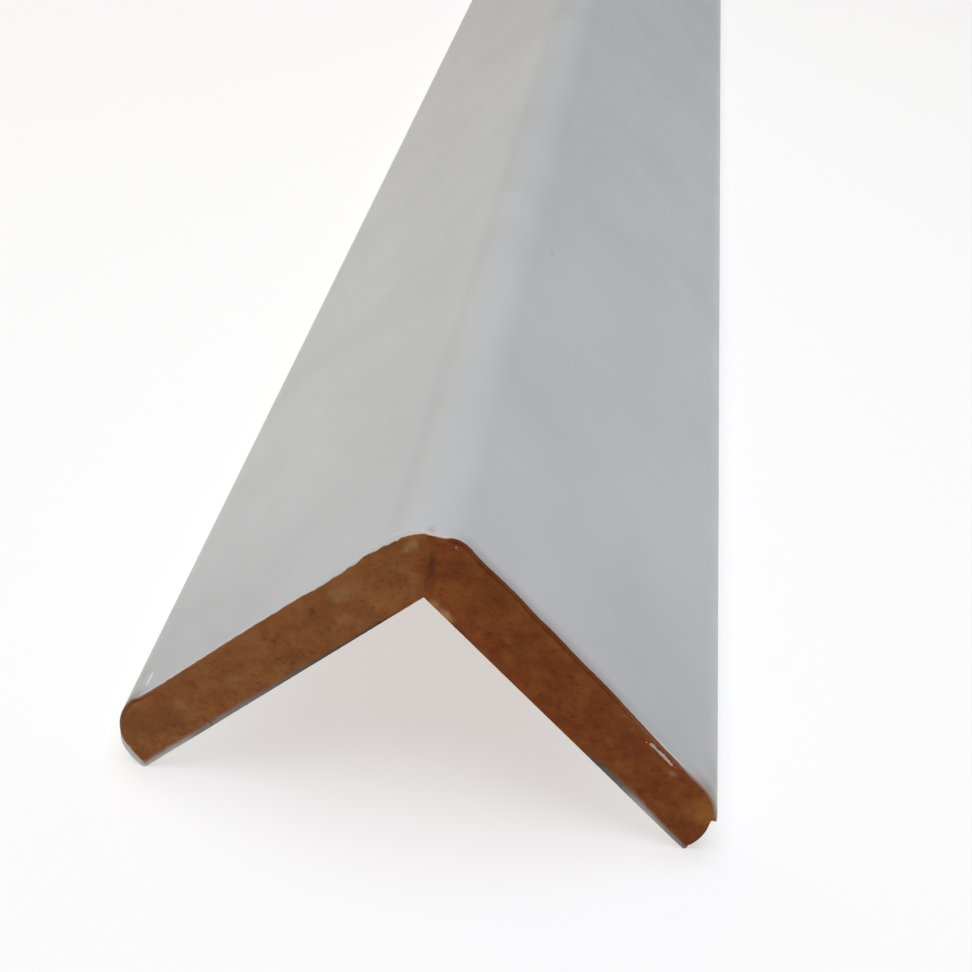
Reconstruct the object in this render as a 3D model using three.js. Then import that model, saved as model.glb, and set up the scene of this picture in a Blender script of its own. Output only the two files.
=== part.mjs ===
// An outside corner moulding: two strips of fibreboard glued together at a mitre, so that their section is a
// right angle, and one sheet of white film wrapped round the outside of both. The film covers the rounded
// outer corner and both rounded edges, and is turned a short way on to the back, where it lies in a shallow
// rebate. The rest of the back is bare board, which is glued over the corner of a wall.
//
// Millimetres, +Z up. The moulding lies on its two edges with the outer corner on top, and its length runs
// along Y. The origin is on the surface it lies on, under the middle of its length. Both ends are cut square.
import * as THREE from "three";

const LENGTH = 260;
const LEG_WIDTH = 40; // from the outer corner, as if it were sharp, to the edge, film included
const BOARD_THICKNESS = 5.6;
const FILM_THICKNESS = 0.4;

const BOARD_CORNER_RADIUS = 4.6; // the rounded outer corner
const BOARD_EDGE_RADIUS = 5; // the rounded front of each long edge
const BOARD_BACK_RADIUS = 0.1; // the back of each long edge, left nearly sharp
const SMALLEST_EDGE_LAND = 0.1; // flat left between the two roundings of an edge

const TURN_BACK_WIDTH = 9; // film on the back of each leg, from the edge
const TURN_BACK_GAP = 0.3; // between the end of the film and the rebate's shoulder

const CORNER_SEGMENTS = 14; // over a right angle, and even, so that a vertex lies on the mitre
const EDGE_SEGMENTS = 12;
const BACK_SEGMENTS = 4;

const legThickness = BOARD_THICKNESS + FILM_THICKNESS;
const rebatedThickness = BOARD_THICKNESS - FILM_THICKNESS; // the board's, under the turned back film
const boardEdgeRadius = Math.min(
  BOARD_EDGE_RADIUS,
  rebatedThickness - BOARD_BACK_RADIUS - SMALLEST_EDGE_LAND,
);
const cornerRadius = BOARD_CORNER_RADIUS + FILM_THICKNESS;
const edgeRadius = boardEdgeRadius + FILM_THICKNESS;
const backRadius = BOARD_BACK_RADIUS + FILM_THICKNESS;

// Height of the sharp outer corner, so that the backs of the long edges, the lowest points, are at z = 0.
const sharpCornerHeight =
  (LEG_WIDTH + legThickness - backRadius * (2 - Math.SQRT2)) / Math.SQRT2;

// A point of the right leg's section: along the leg from the sharp outer corner, and deep below its outer face.
function rightLegPoint(along, deep) {
  return new THREE.Vector2(
    (along - deep) / Math.SQRT2,
    sharpCornerHeight - (along + deep) / Math.SQRT2,
  );
}

// The points of an arc of the right leg's section. Angles are in degrees, and 0 points along the leg.
function rightLegArc(alongCentre, deepCentre, radius, fromAngle, toAngle, segments) {
  const points = [];
  for (let step = 0; step <= segments; step++) {
    const angle = THREE.MathUtils.degToRad(
      fromAngle + ((toAngle - fromAngle) * step) / segments,
    );
    points.push(
      rightLegPoint(
        alongCentre + radius * Math.cos(angle),
        deepCentre + radius * Math.sin(angle),
      ),
    );
  }
  return points;
}

// The right half of the skin at some depth in the film: 0 is its face, and the film's thickness is the board.
// It runs from the ridge over the leg and round its edge to where the turned back film ends.
function rightSkin(depth) {
  return [
    ...rightLegArc(cornerRadius, cornerRadius, cornerRadius - depth, -135, -90, CORNER_SEGMENTS / 2),
    ...rightLegArc(LEG_WIDTH - edgeRadius, edgeRadius, edgeRadius - depth, -90, 0, EDGE_SEGMENTS),
    ...rightLegArc(
      LEG_WIDTH - backRadius,
      legThickness - backRadius,
      backRadius - depth,
      0,
      90,
      BACK_SEGMENTS,
    ),
    rightLegPoint(LEG_WIDTH - TURN_BACK_WIDTH, legThickness - depth),
  ];
}

const mirrored = (points) =>
  points.map((point) => new THREE.Vector2(-point.x, point.y));

// The whole skin, from the end of the film on the left leg's back to its end on the right leg's.
function wholeSkin(depth) {
  const right = rightSkin(depth);
  const left = mirrored(right.slice(1)).reverse();
  return [...left, ...right];
}

// The right strip: the board's skin, the rebate's shoulder, the bare back and the mitre.
function rightBoardOutline() {
  const shoulder = LEG_WIDTH - TURN_BACK_WIDTH - TURN_BACK_GAP;
  return [
    ...rightSkin(FILM_THICKNESS).slice(0, -1),
    rightLegPoint(shoulder, legThickness - FILM_THICKNESS),
    rightLegPoint(shoulder, legThickness),
    rightLegPoint(legThickness, legThickness),
  ];
}

function filmOutline() {
  return [...wholeSkin(0), ...wholeSkin(FILM_THICKNESS).reverse()];
}

// A section drawn in X and Z, run along the whole length.
function lengthOf(outline, name, material) {
  const geometry = new THREE.ExtrudeGeometry(new THREE.Shape(outline), {
    depth: LENGTH,
    bevelEnabled: false,
  });
  geometry.rotateX(Math.PI / 2);
  geometry.translate(0, LENGTH / 2, 0);
  const mesh = new THREE.Mesh(geometry, material);
  mesh.name = name;
  return mesh;
}

const whiteFilm = new THREE.MeshStandardMaterial({ color: 0xe9e9ea, roughness: 0.38, metalness: 0 });
const oliveBoard = new THREE.MeshStandardMaterial({ color: 0x71492b, roughness: 0.9, metalness: 0 });
const redBoard = new THREE.MeshStandardMaterial({ color: 0x68381d, roughness: 0.9, metalness: 0 });

const cornerMoulding = new THREE.Group();
cornerMoulding.add(
  lengthOf(mirrored(rightBoardOutline()).reverse(), "left_board_strip", oliveBoard),
  lengthOf(rightBoardOutline(), "right_board_strip", redBoard),
  lengthOf(filmOutline(), "white_film_wrap", whiteFilm),
);

export default cornerMoulding;
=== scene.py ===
# %% [markdown]
# # A white corner moulding, seen at its sawn end
# The moulding is two strips of brown fibreboard, glued at a mitre into a right angle, with one sheet of
# satin white film wrapped round the outside. It lies on its two long edges with the rounded corner on top.
# The looks are in small things: a mottled, fibrous sawn end, film that the saw chipped back a little from
# the board, and a satin face with a soft highlight along the corner.
#
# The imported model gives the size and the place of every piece. It is loaded first, as a fixed frame.

# %% Load the frame
import math

import bmesh
import bpy
import numpy as np
from mathutils import Matrix, Vector, noise


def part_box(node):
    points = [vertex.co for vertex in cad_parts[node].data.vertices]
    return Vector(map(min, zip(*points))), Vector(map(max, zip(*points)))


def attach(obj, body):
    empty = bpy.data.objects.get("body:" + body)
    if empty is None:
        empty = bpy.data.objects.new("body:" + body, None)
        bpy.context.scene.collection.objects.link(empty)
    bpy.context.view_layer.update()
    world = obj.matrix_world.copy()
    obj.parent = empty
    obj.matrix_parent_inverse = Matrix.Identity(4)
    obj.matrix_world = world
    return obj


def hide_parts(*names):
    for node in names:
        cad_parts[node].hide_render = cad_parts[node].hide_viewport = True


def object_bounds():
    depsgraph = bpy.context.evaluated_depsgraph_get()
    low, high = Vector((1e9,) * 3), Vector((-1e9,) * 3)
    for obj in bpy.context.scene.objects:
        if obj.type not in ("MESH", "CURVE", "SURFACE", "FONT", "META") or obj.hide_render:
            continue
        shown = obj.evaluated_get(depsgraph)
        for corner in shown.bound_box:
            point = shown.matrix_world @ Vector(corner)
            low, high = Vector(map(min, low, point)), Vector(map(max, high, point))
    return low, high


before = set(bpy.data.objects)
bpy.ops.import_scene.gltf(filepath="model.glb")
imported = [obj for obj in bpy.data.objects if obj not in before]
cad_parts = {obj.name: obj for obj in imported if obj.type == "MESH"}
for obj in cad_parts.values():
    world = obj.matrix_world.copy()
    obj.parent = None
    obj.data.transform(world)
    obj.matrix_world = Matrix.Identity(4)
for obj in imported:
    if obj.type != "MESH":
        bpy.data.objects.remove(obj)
cad_low, cad_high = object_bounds()
print("model from", tuple(cad_low), "to", tuple(cad_high))

# %% [markdown]
# ## The section
# Every size of the section comes from a few that the maker chooses. A place on it is easiest to say in a
# leg's own terms: how far along the leg from the outer corner, as if it were sharp, and how deep below the
# leg's outer face. Blender works in metres, so sizes are written as a number of millimetres times MM.

# %% Sizes
MM = 0.001
ROOT_TWO = math.sqrt(2)
HALF_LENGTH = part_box("white_film_wrap")[1].y
LEG_WIDTH = 40 * MM
LEG_THICKNESS = 6 * MM
FILM_THICKNESS = 0.4 * MM
CORNER_RADIUS = 5 * MM
EDGE_RADIUS = 5.4 * MM
BACK_RADIUS = 0.5 * MM
TURN_BACK_WIDTH = 9 * MM
TURN_BACK_GAP = 0.3 * MM
SHARP_CORNER_HEIGHT = (LEG_WIDTH + LEG_THICKNESS - BACK_RADIUS * (2 - ROOT_TWO)) / ROOT_TWO
LEFT, RIGHT = -1, 1


def section_point(side, along, deep):
    """X and Z of a point of the section, along a leg and deep below its outer face."""
    x = side * (along - deep) / ROOT_TWO
    z = SHARP_CORNER_HEIGHT - (along + deep) / ROOT_TWO
    return x, z


print("half length", HALF_LENGTH, "sharp corner height", SHARP_CORNER_HEIGHT)

# %% [markdown]
# ## Short words for nodes
# A node tree is a list of nodes and wires. These helpers add one node a line, and an input is either a
# number or another node's output. The same maths nodes work in a shader and in Geometry Nodes, so one set
# serves both.

# %% Node helpers
def set_inputs(tree, node, values):
    """Sets inputs of a node, by name or number, each to a value or to another node's output."""
    for name, value in values.items():
        if isinstance(value, bpy.types.NodeSocket):
            tree.links.new(value, node.inputs[name])
        else:
            node.inputs[name].default_value = value


def add(tree, kind, inputs=None, **settings):
    """A new node, with its settings made and its inputs set or wired."""
    made = tree.nodes.new(kind)
    for name, value in settings.items():
        setattr(made, name, value)
    set_inputs(tree, made, inputs or {})
    return made


def maths(tree, operation, *values):
    """A Math node's output."""
    return add(tree, "ShaderNodeMath", dict(enumerate(values)), operation=operation).outputs[0]


def vector_maths(tree, operation, *values):
    """A Vector Math node's vector output."""
    return add(tree, "ShaderNodeVectorMath", dict(enumerate(values)), operation=operation).outputs["Vector"]


def scaled(tree, vector, scale):
    """A vector times a number."""
    return add(tree, "ShaderNodeVectorMath", {0: vector, "Scale": scale}, operation="SCALE").outputs["Vector"]


def length_of(tree, vector):
    """How long a vector is."""
    return add(tree, "ShaderNodeVectorMath", {0: vector}, operation="LENGTH").outputs["Value"]


def split(tree, vector):
    """A vector's three values, named X, Y and Z."""
    return add(tree, "ShaderNodeSeparateXYZ", {0: vector}).outputs


def joined(tree, x=0.0, y=0.0, z=0.0):
    """A vector made of three values."""
    return add(tree, "ShaderNodeCombineXYZ", {0: x, 1: y, 2: z}).outputs[0]


def ramp(tree, value, start, end, low=0.0, high=1.0):
    """A smooth step from low to high as the value goes from start to end."""
    inputs = {"Value": value, "From Min": start, "From Max": end, "To Min": low, "To Max": high}
    return add(tree, "ShaderNodeMapRange", inputs, interpolation_type="SMOOTHSTEP").outputs["Result"]


def noise_field(tree, vector, scale, detail=2.0, roughness=0.5, distortion=0.0):
    """A Noise Texture's value, from about 0.2 to 0.8."""
    inputs = {"Vector": vector, "Scale": scale, "Detail": detail, "Roughness": roughness}
    inputs["Distortion"] = distortion
    return add(tree, "ShaderNodeTexNoise", inputs).outputs["Fac"]


NOISE_MIDDLE = (0.3, 0.7)  # most of a noise's values lie between these


def stretched(tree, noise_value, low=0.0, high=1.0):
    """A noise's value, stretched to run from low to high."""
    return ramp(tree, noise_value, *NOISE_MIDDLE, low, high)


def mix_colour(tree, factor, first, second):
    """First colour where the factor is 0, second where it is 1."""
    return add(tree, "ShaderNodeMix", {0: factor, 6: first, 7: second}, data_type="RGBA").outputs[2]


def lay_over(tree, colour, over, mask, strength):
    """The colour with another over it, by the mask times a strength."""
    return mix_colour(tree, maths(tree, "MULTIPLY", mask, strength), colour, over)


def new_group(name, kind, inputs, outputs):
    """An empty node group with named sockets. An input is given as its kind and value."""
    group = bpy.data.node_groups.new(name, kind)
    for label, (socket_kind, value) in inputs.items():
        socket = group.interface.new_socket(label, in_out="INPUT", socket_type="NodeSocket" + socket_kind)
        if value is not None:
            socket.default_value = value
    for label, socket_kind in outputs.items():
        group.interface.new_socket(label, in_out="OUTPUT", socket_type="NodeSocket" + socket_kind)
    return group, group.nodes.new("NodeGroupInput").outputs, group.nodes.new("NodeGroupOutput")


def paint(red, green, blue):
    """A colour as a paint chart gives it, 0 to 255, in the linear values that a shader takes."""
    linear = []
    for part in (red, green, blue):
        share = part / 255
        # The standard curve of screen colours is straight near black, and a power above that.
        linear.append(share / 12.92 if share <= 0.04045 else ((share + 0.055) / 1.055) ** 2.4)
    return (*linear, 1.0)


# %% [markdown]
# ## Leg coordinates as nodes
# Grain, stains and chips follow the legs of the section, not the room's axes. So this function turns a
# position into millimetres along the leg, deep below its face, and from the ends. Its skin depth follows
# the rounded corner and edge too, which lets a burnt line hug the whole outline. Materials get it as a node
# group.

# %% Leg coordinates
def rounded_depth(tree, across, inwards, radius):
    """Depth below a rounded corner. Both values are 0 at the arc's centre and grow towards the corner."""
    outside_across = maths(tree, "MAXIMUM", across, 0.0)
    outside_inwards = maths(tree, "MAXIMUM", inwards, 0.0)
    squares = maths(tree, "MULTIPLY", outside_across, outside_across)
    squares = maths(tree, "MULTIPLY_ADD", outside_inwards, outside_inwards, squares)
    reach = maths(tree, "SQRT", squares)
    inside = maths(tree, "MINIMUM", maths(tree, "MAXIMUM", across, inwards), 0.0)
    return maths(tree, "SUBTRACT", maths(tree, "SUBTRACT", radius, reach), inside)


def leg_fields(tree, position):
    """Named sockets for a position in metres. All of them are in millimetres, apart from the side."""
    millimetres = scaled(tree, position, 1 / MM)
    parts = split(tree, millimetres)
    side = maths(tree, "SIGN", parts["X"])
    across = maths(tree, "ABSOLUTE", parts["X"])
    drop = maths(tree, "SUBTRACT", SHARP_CORNER_HEIGHT / MM, parts["Z"])
    along = maths(tree, "DIVIDE", maths(tree, "ADD", drop, across), ROOT_TWO)
    deep = maths(tree, "DIVIDE", maths(tree, "SUBTRACT", drop, across), ROOT_TWO)
    signed_along = maths(tree, "MULTIPLY", along, side)
    corner = CORNER_RADIUS / MM
    corner_depth = rounded_depth(
        tree, maths(tree, "SUBTRACT", corner, along), maths(tree, "SUBTRACT", corner, deep), corner
    )
    edge = EDGE_RADIUS / MM
    edge_depth = rounded_depth(
        tree,
        maths(tree, "SUBTRACT", along, LEG_WIDTH / MM - edge),
        maths(tree, "SUBTRACT", edge, deep),
        edge,
    )
    leg_vector = joined(tree, signed_along, deep, parts["Y"])
    return {
        "Side": side,
        "Along": along,
        "Deep": deep,
        "Signed Along": signed_along,
        "Skin Depth": maths(tree, "MINIMUM", corner_depth, edge_depth),
        "From Sawn End": maths(tree, "ADD", parts["Y"], HALF_LENGTH / MM),
        "From Either End": maths(tree, "SUBTRACT", HALF_LENGTH / MM, maths(tree, "ABSOLUTE", parts["Y"])),
        "Leg Vector": leg_vector,
        "Millimetres": millimetres,
    }


def leg_group():
    """The same fields as a shader node group, for the materials."""
    vectors = ("Leg Vector", "Millimetres")
    labels = ["Side", "Along", "Deep", "Signed Along", "Skin Depth", "From Sawn End"]
    labels += ["From Either End", *vectors]
    outputs = {label: "Vector" if label in vectors else "Float" for label in labels}
    group, given, output_node = new_group(
        "leg coordinates", "ShaderNodeTree", {"Position": ("Vector", None)}, outputs
    )
    set_inputs(group, output_node, leg_fields(group, given["Position"]))
    return group


LEG_GROUP = leg_group()
print("leg coordinates:", len(LEG_GROUP.nodes), "nodes")

# %% [markdown]
# ## The film: one sheet, swept and cut
# The film is a sheet 0.4 mm thick, bent round the section and as long as the moulding. It could be an
# extruded outline, but its sawn end isn't straight: the saw chipped it back by a few tenths of a
# millimetre, more on the right leg, and broke it off round both tips. So Geometry Nodes lay a fine grid
# over the section, and move the rows near the end by a chip depth that depends on the place round the
# section. Solidify then gives the sheet its thickness, and its rim becomes the cut edge, with a material of
# its own.
#
# The section needs only its seven corner points. Fillet Curve rounds them, each by its own radius. The
# turned back film is laid snug against the rebate's shoulder, so that no hole shows at its end.

# %% Section line of the film
FILM_CLEARANCE = 0.01 * MM
SHOULDER = LEG_WIDTH - TURN_BACK_WIDTH - TURN_BACK_GAP
FILM_END = SHOULDER + 3 * FILM_CLEARANCE
film_corners = [
    (LEFT, FILM_END, LEG_THICKNESS, 0.0),
    (LEFT, LEG_WIDTH, LEG_THICKNESS, BACK_RADIUS),
    (LEFT, LEG_WIDTH, 0.0, EDGE_RADIUS),
    (RIGHT, 0.0, 0.0, CORNER_RADIUS),
    (RIGHT, LEG_WIDTH, 0.0, EDGE_RADIUS),
    (RIGHT, LEG_WIDTH, LEG_THICKNESS, BACK_RADIUS),
    (RIGHT, FILM_END, LEG_THICKNESS, 0.0),
]


def new_object(name, data):
    """An object in the scene that shows a mesh, a light or a camera."""
    made = bpy.data.objects.new(name, data)
    bpy.context.scene.collection.objects.link(made)
    return made


def set_attribute(mesh, name, values):
    """Keeps a number for each point of a mesh, under a name that nodes can read."""
    mesh.attributes.new(name, "FLOAT", "POINT").data.foreach_set("value", values)


def line_object(name, corners):
    """An object that holds the corner points as a chain of edges, and the radius of each as an attribute."""
    points = []
    for side, along, deep, _ in corners:
        x, z = section_point(side, along, deep)
        points.append((x, 0.0, z))
    mesh = bpy.data.meshes.new(name)
    mesh.from_pydata(points, [(i, i + 1) for i in range(len(points) - 1)], [])
    set_attribute(mesh, "corner_radius", [corner[3] for corner in corners])
    return new_object(name, mesh)


film = line_object("film_skin", film_corners)
print("film section:", len(film.data.vertices), "corner points")

# %% [markdown]
# The chips are a field: a number for each place round the section. On the left leg the film is nearly flush
# as far as its tip, on the right leg there are shallow chips over the upper half, and both tips lost a
# larger flake. A Float Curve draws such a run through a few given places, so one helper makes it a
# socket. Noise then makes it wavy and gives it small scallops. The turned-back film is nearly whole.

# %% Values that change along the legs
ALONG_REACH = 43.0  # millimetres from the corner to either end of a curve


def along_curve(tree, signed_along, points):
    """A smooth run of values from 0 to 1. Each point is a signed place along the legs and a value."""
    share = maths(tree, "MULTIPLY_ADD", signed_along, 0.5 / ALONG_REACH, 0.5)
    made = add(tree, "ShaderNodeFloatCurve", {"Value": share})
    line = made.mapping.curves[0]
    places = [(0.5 + 0.5 * place / ALONG_REACH, value) for place, value in points]
    line.points[0].location = places[0]
    line.points[1].location = places[-1]
    for place in places[1:-1]:
        line.points.new(*place)
    for point in line.points:
        point.handle_type = "AUTO_CLAMPED"
    made.mapping.update()
    return made.outputs[0]


# %% Chips of the sawn edge
CHIP_FADE = 1.9  # millimetres over which the rows behind the edge settle back to their places
CHIP_LOSS = [  # signed place along the legs, and how far back the film is chipped there, in millimetres
    (-43, 0.02),
    (-36.8, 0.22),
    (-35.4, 0.44),
    (-34.2, 0.28),
    (-32.4, 0.06),
    (2.4, 0.03),
    (4.1, 0.42),
    (5.8, 0.3),
    (10.0, 0.45),
    (12.8, 0.33),
    (14.2, 0.4),
    (18.0, 0.28),
    (21.0, 0.3),
    (24.0, 0.12),
    (27.0, 0.03),
    (38.4, 0.04),
    (43, 0.3),
]
LEFT_TIP_CHIP = {"along": -37.2, "deep": 1.0, "along_reach": 3.1, "deep_reach": 2.4, "loss": 0.3}
RIGHT_TIP_CHIP = {"along": 39.6, "deep": 3.9, "along_reach": 1.9, "deep_reach": 2.7, "loss": 1.3}
TIP_CHIP_RIM = (0.6, 1.05)  # a tip's chip fades between these shares of its reach
WAVE_LOSS = 0.1
SCALLOP_LOSS = 0.16
TURN_DEPTHS = (5.3, 5.95)  # millimetres below the face, where the film turns on to the back
TURNED_LOSS_SHARE = 0.06  # how much of the chips is left on the turned-back film


def tip_chip(tree, leg, chip):
    """How much of the film a tip's chip takes, in millimetres."""
    squares = 0.0
    for field, centre, reach in (("Signed Along", "along", "along_reach"), ("Deep", "deep", "deep_reach")):
        away = maths(tree, "DIVIDE", maths(tree, "SUBTRACT", leg[field], chip[centre]), chip[reach])
        squares = maths(tree, "MULTIPLY_ADD", away, away, squares)
    return ramp(tree, maths(tree, "SQRT", squares), *TIP_CHIP_RIM, chip["loss"], 0.0)


def chip_depth(tree, leg):
    """How far the saw chipped the film back from the end, in millimetres."""
    step = joined(tree, leg["Signed Along"], leg["Deep"])
    wave = noise_field(tree, step, scale=0.34, detail=1.0)
    scallop = noise_field(tree, step, scale=1.15, detail=3.0, roughness=0.7)
    loss = along_curve(tree, leg["Signed Along"], CHIP_LOSS)
    for field, strength in ((wave, WAVE_LOSS), (scallop, SCALLOP_LOSS)):
        loss = maths(tree, "MULTIPLY_ADD", maths(tree, "SUBTRACT", field, 0.5), strength, loss)
    for chip in (LEFT_TIP_CHIP, RIGHT_TIP_CHIP):
        loss = maths(tree, "ADD", loss, tip_chip(tree, leg, chip))
    turned_back = ramp(tree, leg["Deep"], *TURN_DEPTHS, 1.0, TURNED_LOSS_SHARE)
    return maths(tree, "MAXIMUM", maths(tree, "MULTIPLY", loss, turned_back), 0.0)


# %% [markdown]
# The grid's own X says how far round the section a vertex is, and Sample Curve finds that place on the
# rounded line. Its Y says how far along the moulding it is, and a power crowds the rows towards both ends.
# Before the rows are chipped, each vertex keeps its distance from the cut as an attribute, which the film's
# finish reads.

# %% Tree that sweeps the film
ROUNDING_POINTS = 24  # on each rounded corner of the line


def mesh_position(tree):
    """The place of each point, in a geometry tree."""
    return add(tree, "GeometryNodeInputPosition").outputs[0]


def film_tree():
    """Geometry Nodes for the sheet: section line in, one skin out, with its chipped end."""
    inputs = {
        "Section": ("Geometry", None),
        "Half Length": ("Float", 0.1),
        "Points Round": ("Int", 100),
        "Rows": ("Int", 20),
        "Crowding": ("Float", 2.0),
        "Chip Strength": ("Float", 1.0),
        "Film": ("Material", None),
    }
    tree, given, output_node = new_group("film sweep", "GeometryNodeTree", inputs, {"Sheet": "Geometry"})
    radius = add(tree, "GeometryNodeInputNamedAttribute", {"Name": "corner_radius"}, data_type="FLOAT")
    line = add(tree, "GeometryNodeMeshToCurve", {"Mesh": given["Section"]}).outputs["Curve"]
    rounding = {"Curve": line, "Count": ROUNDING_POINTS, "Radius": radius.outputs["Attribute"]}
    line = add(tree, "GeometryNodeFilletCurve", rounding, mode="POLY").outputs["Curve"]
    lattice = {"Size X": 1.0, "Size Y": 2.0, "Vertices X": given["Points Round"], "Vertices Y": given["Rows"]}
    grid = add(tree, "GeometryNodeMeshGrid", lattice).outputs["Mesh"]
    place = split(tree, mesh_position(tree))
    factor = maths(tree, "ADD", place["X"], 0.5)
    sample = add(tree, "GeometryNodeSampleCurve", {"Curves": line, "Factor": factor}, mode="FACTOR")
    on_line = split(tree, sample.outputs["Position"])
    to_end = maths(tree, "SUBTRACT", 1.0, maths(tree, "ABSOLUTE", place["Y"]))
    from_end = maths(tree, "MULTIPLY", maths(tree, "POWER", to_end, given["Crowding"]), given["Half Length"])
    row = maths(tree, "SUBTRACT", given["Half Length"], from_end)
    row = maths(tree, "MULTIPLY", row, maths(tree, "SIGN", place["Y"]))
    spot = joined(tree, on_line["X"], row, on_line["Z"])
    swept = add(tree, "GeometryNodeSetPosition", {"Geometry": grid, "Position": spot}).outputs[0]

    leg = leg_fields(tree, mesh_position(tree))
    kept = {"Geometry": swept, "Name": "from_cut", "Value": leg["From Sawn End"]}
    marked = add(tree, "GeometryNodeStoreNamedAttribute", kept, data_type="FLOAT", domain="POINT").outputs[0]
    loss = maths(tree, "MULTIPLY", chip_depth(tree, leg), given["Chip Strength"])
    fade = maths(tree, "EXPONENT", maths(tree, "DIVIDE", leg["From Sawn End"], -CHIP_FADE))
    shift = maths(tree, "MULTIPLY", maths(tree, "MULTIPLY", loss, fade), MM)
    moves = {"Geometry": marked, "Offset": joined(tree, y=shift)}
    chipped = add(tree, "GeometryNodeSetPosition", moves).outputs[0]
    smooth = add(tree, "GeometryNodeSetShadeSmooth", {0: chipped}).outputs[0]
    real = add(tree, "GeometryNodeRealizeInstances", {0: smooth}).outputs[0]
    covered = add(tree, "GeometryNodeSetMaterial", {"Geometry": real, "Material": given["Film"]}).outputs[0]
    set_inputs(tree, output_node, {"Sheet": covered})
    return tree


def bake(piece):
    """Replaces a piece's mesh by what its modifiers make of it, and removes them."""
    depsgraph = bpy.context.evaluated_depsgraph_get()
    mesh = bpy.data.meshes.new_from_object(piece.evaluated_get(depsgraph), depsgraph=depsgraph)
    piece.modifiers.clear()
    piece.data = mesh
    mesh.name = piece.name
    while None in mesh.materials[:]:
        mesh.materials.pop(index=mesh.materials[:].index(None))
    return mesh


def run_tree(piece, tree, values):
    """Runs a geometry tree on a piece with its named inputs set, and bakes the result."""
    modifier = piece.modifiers.new(tree.name, "NODES")
    modifier.node_group = tree
    for item in tree.interface.items_tree:
        if item.in_out == "INPUT" and item.name in values:
            modifier[item.identifier] = values[item.name]
    return bake(piece)


def triangles(mesh):
    """How many triangles a mesh comes to."""
    mesh.calc_loop_triangles()
    return len(mesh.loop_triangles)


def report(piece):
    """Prints a piece's size and its number of triangles."""
    sizes = [round(length / MM, 2) for length in piece.dimensions]
    print(piece.name, "measures", sizes, "mm and has", triangles(piece.data), "triangles")


# %% Sweep the film
film_material = bpy.data.materials.new("satin_white_film")
film_edge_material = bpy.data.materials.new("film_sawn_edge")
run_tree(
    film,
    film_tree(),
    {
        "Half Length": HALF_LENGTH,
        "Points Round": 480,
        "Rows": 61,
        "Crowding": 2.2,
        "Chip Strength": 1.0,
        "Film": film_material,
    },
)
report(film)

# %% [markdown]
# Solidify pushes the second skin inwards, and leaves the outer one where the frame has it. The inner skin
# stops a hundredth of a millimetre short of the board, so that the two never share a plane. A small bevel
# takes the razor edge off the cut, and catches the light there as the real one does.

# %% Thickness and cut edge of the film
CUT_BEVEL = 0.03 * MM
BEVEL_STEPS = 2
BEVEL_FROM_ANGLE = math.radians(55)
SMALLEST_EDGE = 0.001 * MM
FILM_SMOOTH_ANGLE = math.radians(50)
film.data.materials.append(film_edge_material)
thickness = film.modifiers.new("thickness", "SOLIDIFY")
thickness.thickness = FILM_THICKNESS - FILM_CLEARANCE
thickness.offset = -1.0
thickness.use_quality_normals = True
thickness.material_offset_rim = 1
soft_edge = film.modifiers.new("soft edge", "BEVEL")
soft_edge.width = CUT_BEVEL
soft_edge.segments = BEVEL_STEPS
soft_edge.limit_method = "ANGLE"
soft_edge.angle_limit = BEVEL_FROM_ANGLE
bake(film)
cleaned = bmesh.new()
cleaned.from_mesh(film.data)
bmesh.ops.dissolve_degenerate(cleaned, dist=SMALLEST_EDGE, edges=cleaned.edges)
cleaned.to_mesh(film.data)
cleaned.free()
film.data.set_sharp_from_angle(angle=FILM_SMOOTH_ANGLE)
report(film)

# %% [markdown]
# ## The board strips
# Each strip is a solid bar with a sawn face at both ends. The face could be one flat polygon, but sawn
# fibreboard is pitted and fuzzy, and that shows from a step away. So each end is a grid of cells, ruled
# between the front line of the section, under the film, and its back line. Each grid point is sunk by a
# relief made of noise. Rows along the length join the outlines of the two ends, and let the frayed arris
# settle back.

# %% Lines of the board's section
BOARD_EDGE_RADIUS = EDGE_RADIUS - FILM_THICKNESS
CELL = 0.155 * MM


def straight(start, end):
    """Points along a straight stretch, about a cell apart, without the last."""
    count = max(1, round(math.dist(start, end) / CELL))
    return [
        (start[0] + (end[0] - start[0]) * step / count, start[1] + (end[1] - start[1]) * step / count)
        for step in range(count)
    ]


def arc(centre, radius, from_degrees, to_degrees):
    """Points along an arc, about a cell apart, without the last. 0 degrees points along the leg."""
    turn = math.radians(to_degrees - from_degrees)
    count = max(1, round(abs(turn) * radius / CELL))
    points = []
    for step in range(count):
        angle = math.radians(from_degrees) + turn * step / count
        points.append((centre[0] + radius * math.cos(angle), centre[1] + radius * math.sin(angle)))
    return points


def front_line():
    """Along and deep of the board's skin, from the mitre round the corner and over the leg to its edge."""
    edge_centre = (LEG_WIDTH - EDGE_RADIUS, EDGE_RADIUS)
    points = arc((CORNER_RADIUS, CORNER_RADIUS), CORNER_RADIUS - FILM_THICKNESS, -135, -90)
    points += straight((CORNER_RADIUS, FILM_THICKNESS), (edge_centre[0], FILM_THICKNESS))
    points += arc(edge_centre, BOARD_EDGE_RADIUS, -90, 0)
    return points + [(LEG_WIDTH - FILM_THICKNESS, EDGE_RADIUS)]


def back_line():
    """Along and deep of the bare back, from the mitre to the rebate's shoulder and down to the edge."""
    floor_depth = LEG_THICKNESS - FILM_THICKNESS
    edge = (LEG_WIDTH - BACK_RADIUS, floor_depth)
    points = straight((LEG_THICKNESS, LEG_THICKNESS), (SHOULDER, LEG_THICKNESS))
    points += straight((SHOULDER, LEG_THICKNESS), (SHOULDER, floor_depth))
    points += straight((SHOULDER, floor_depth), edge)
    return points + [edge]


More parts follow.
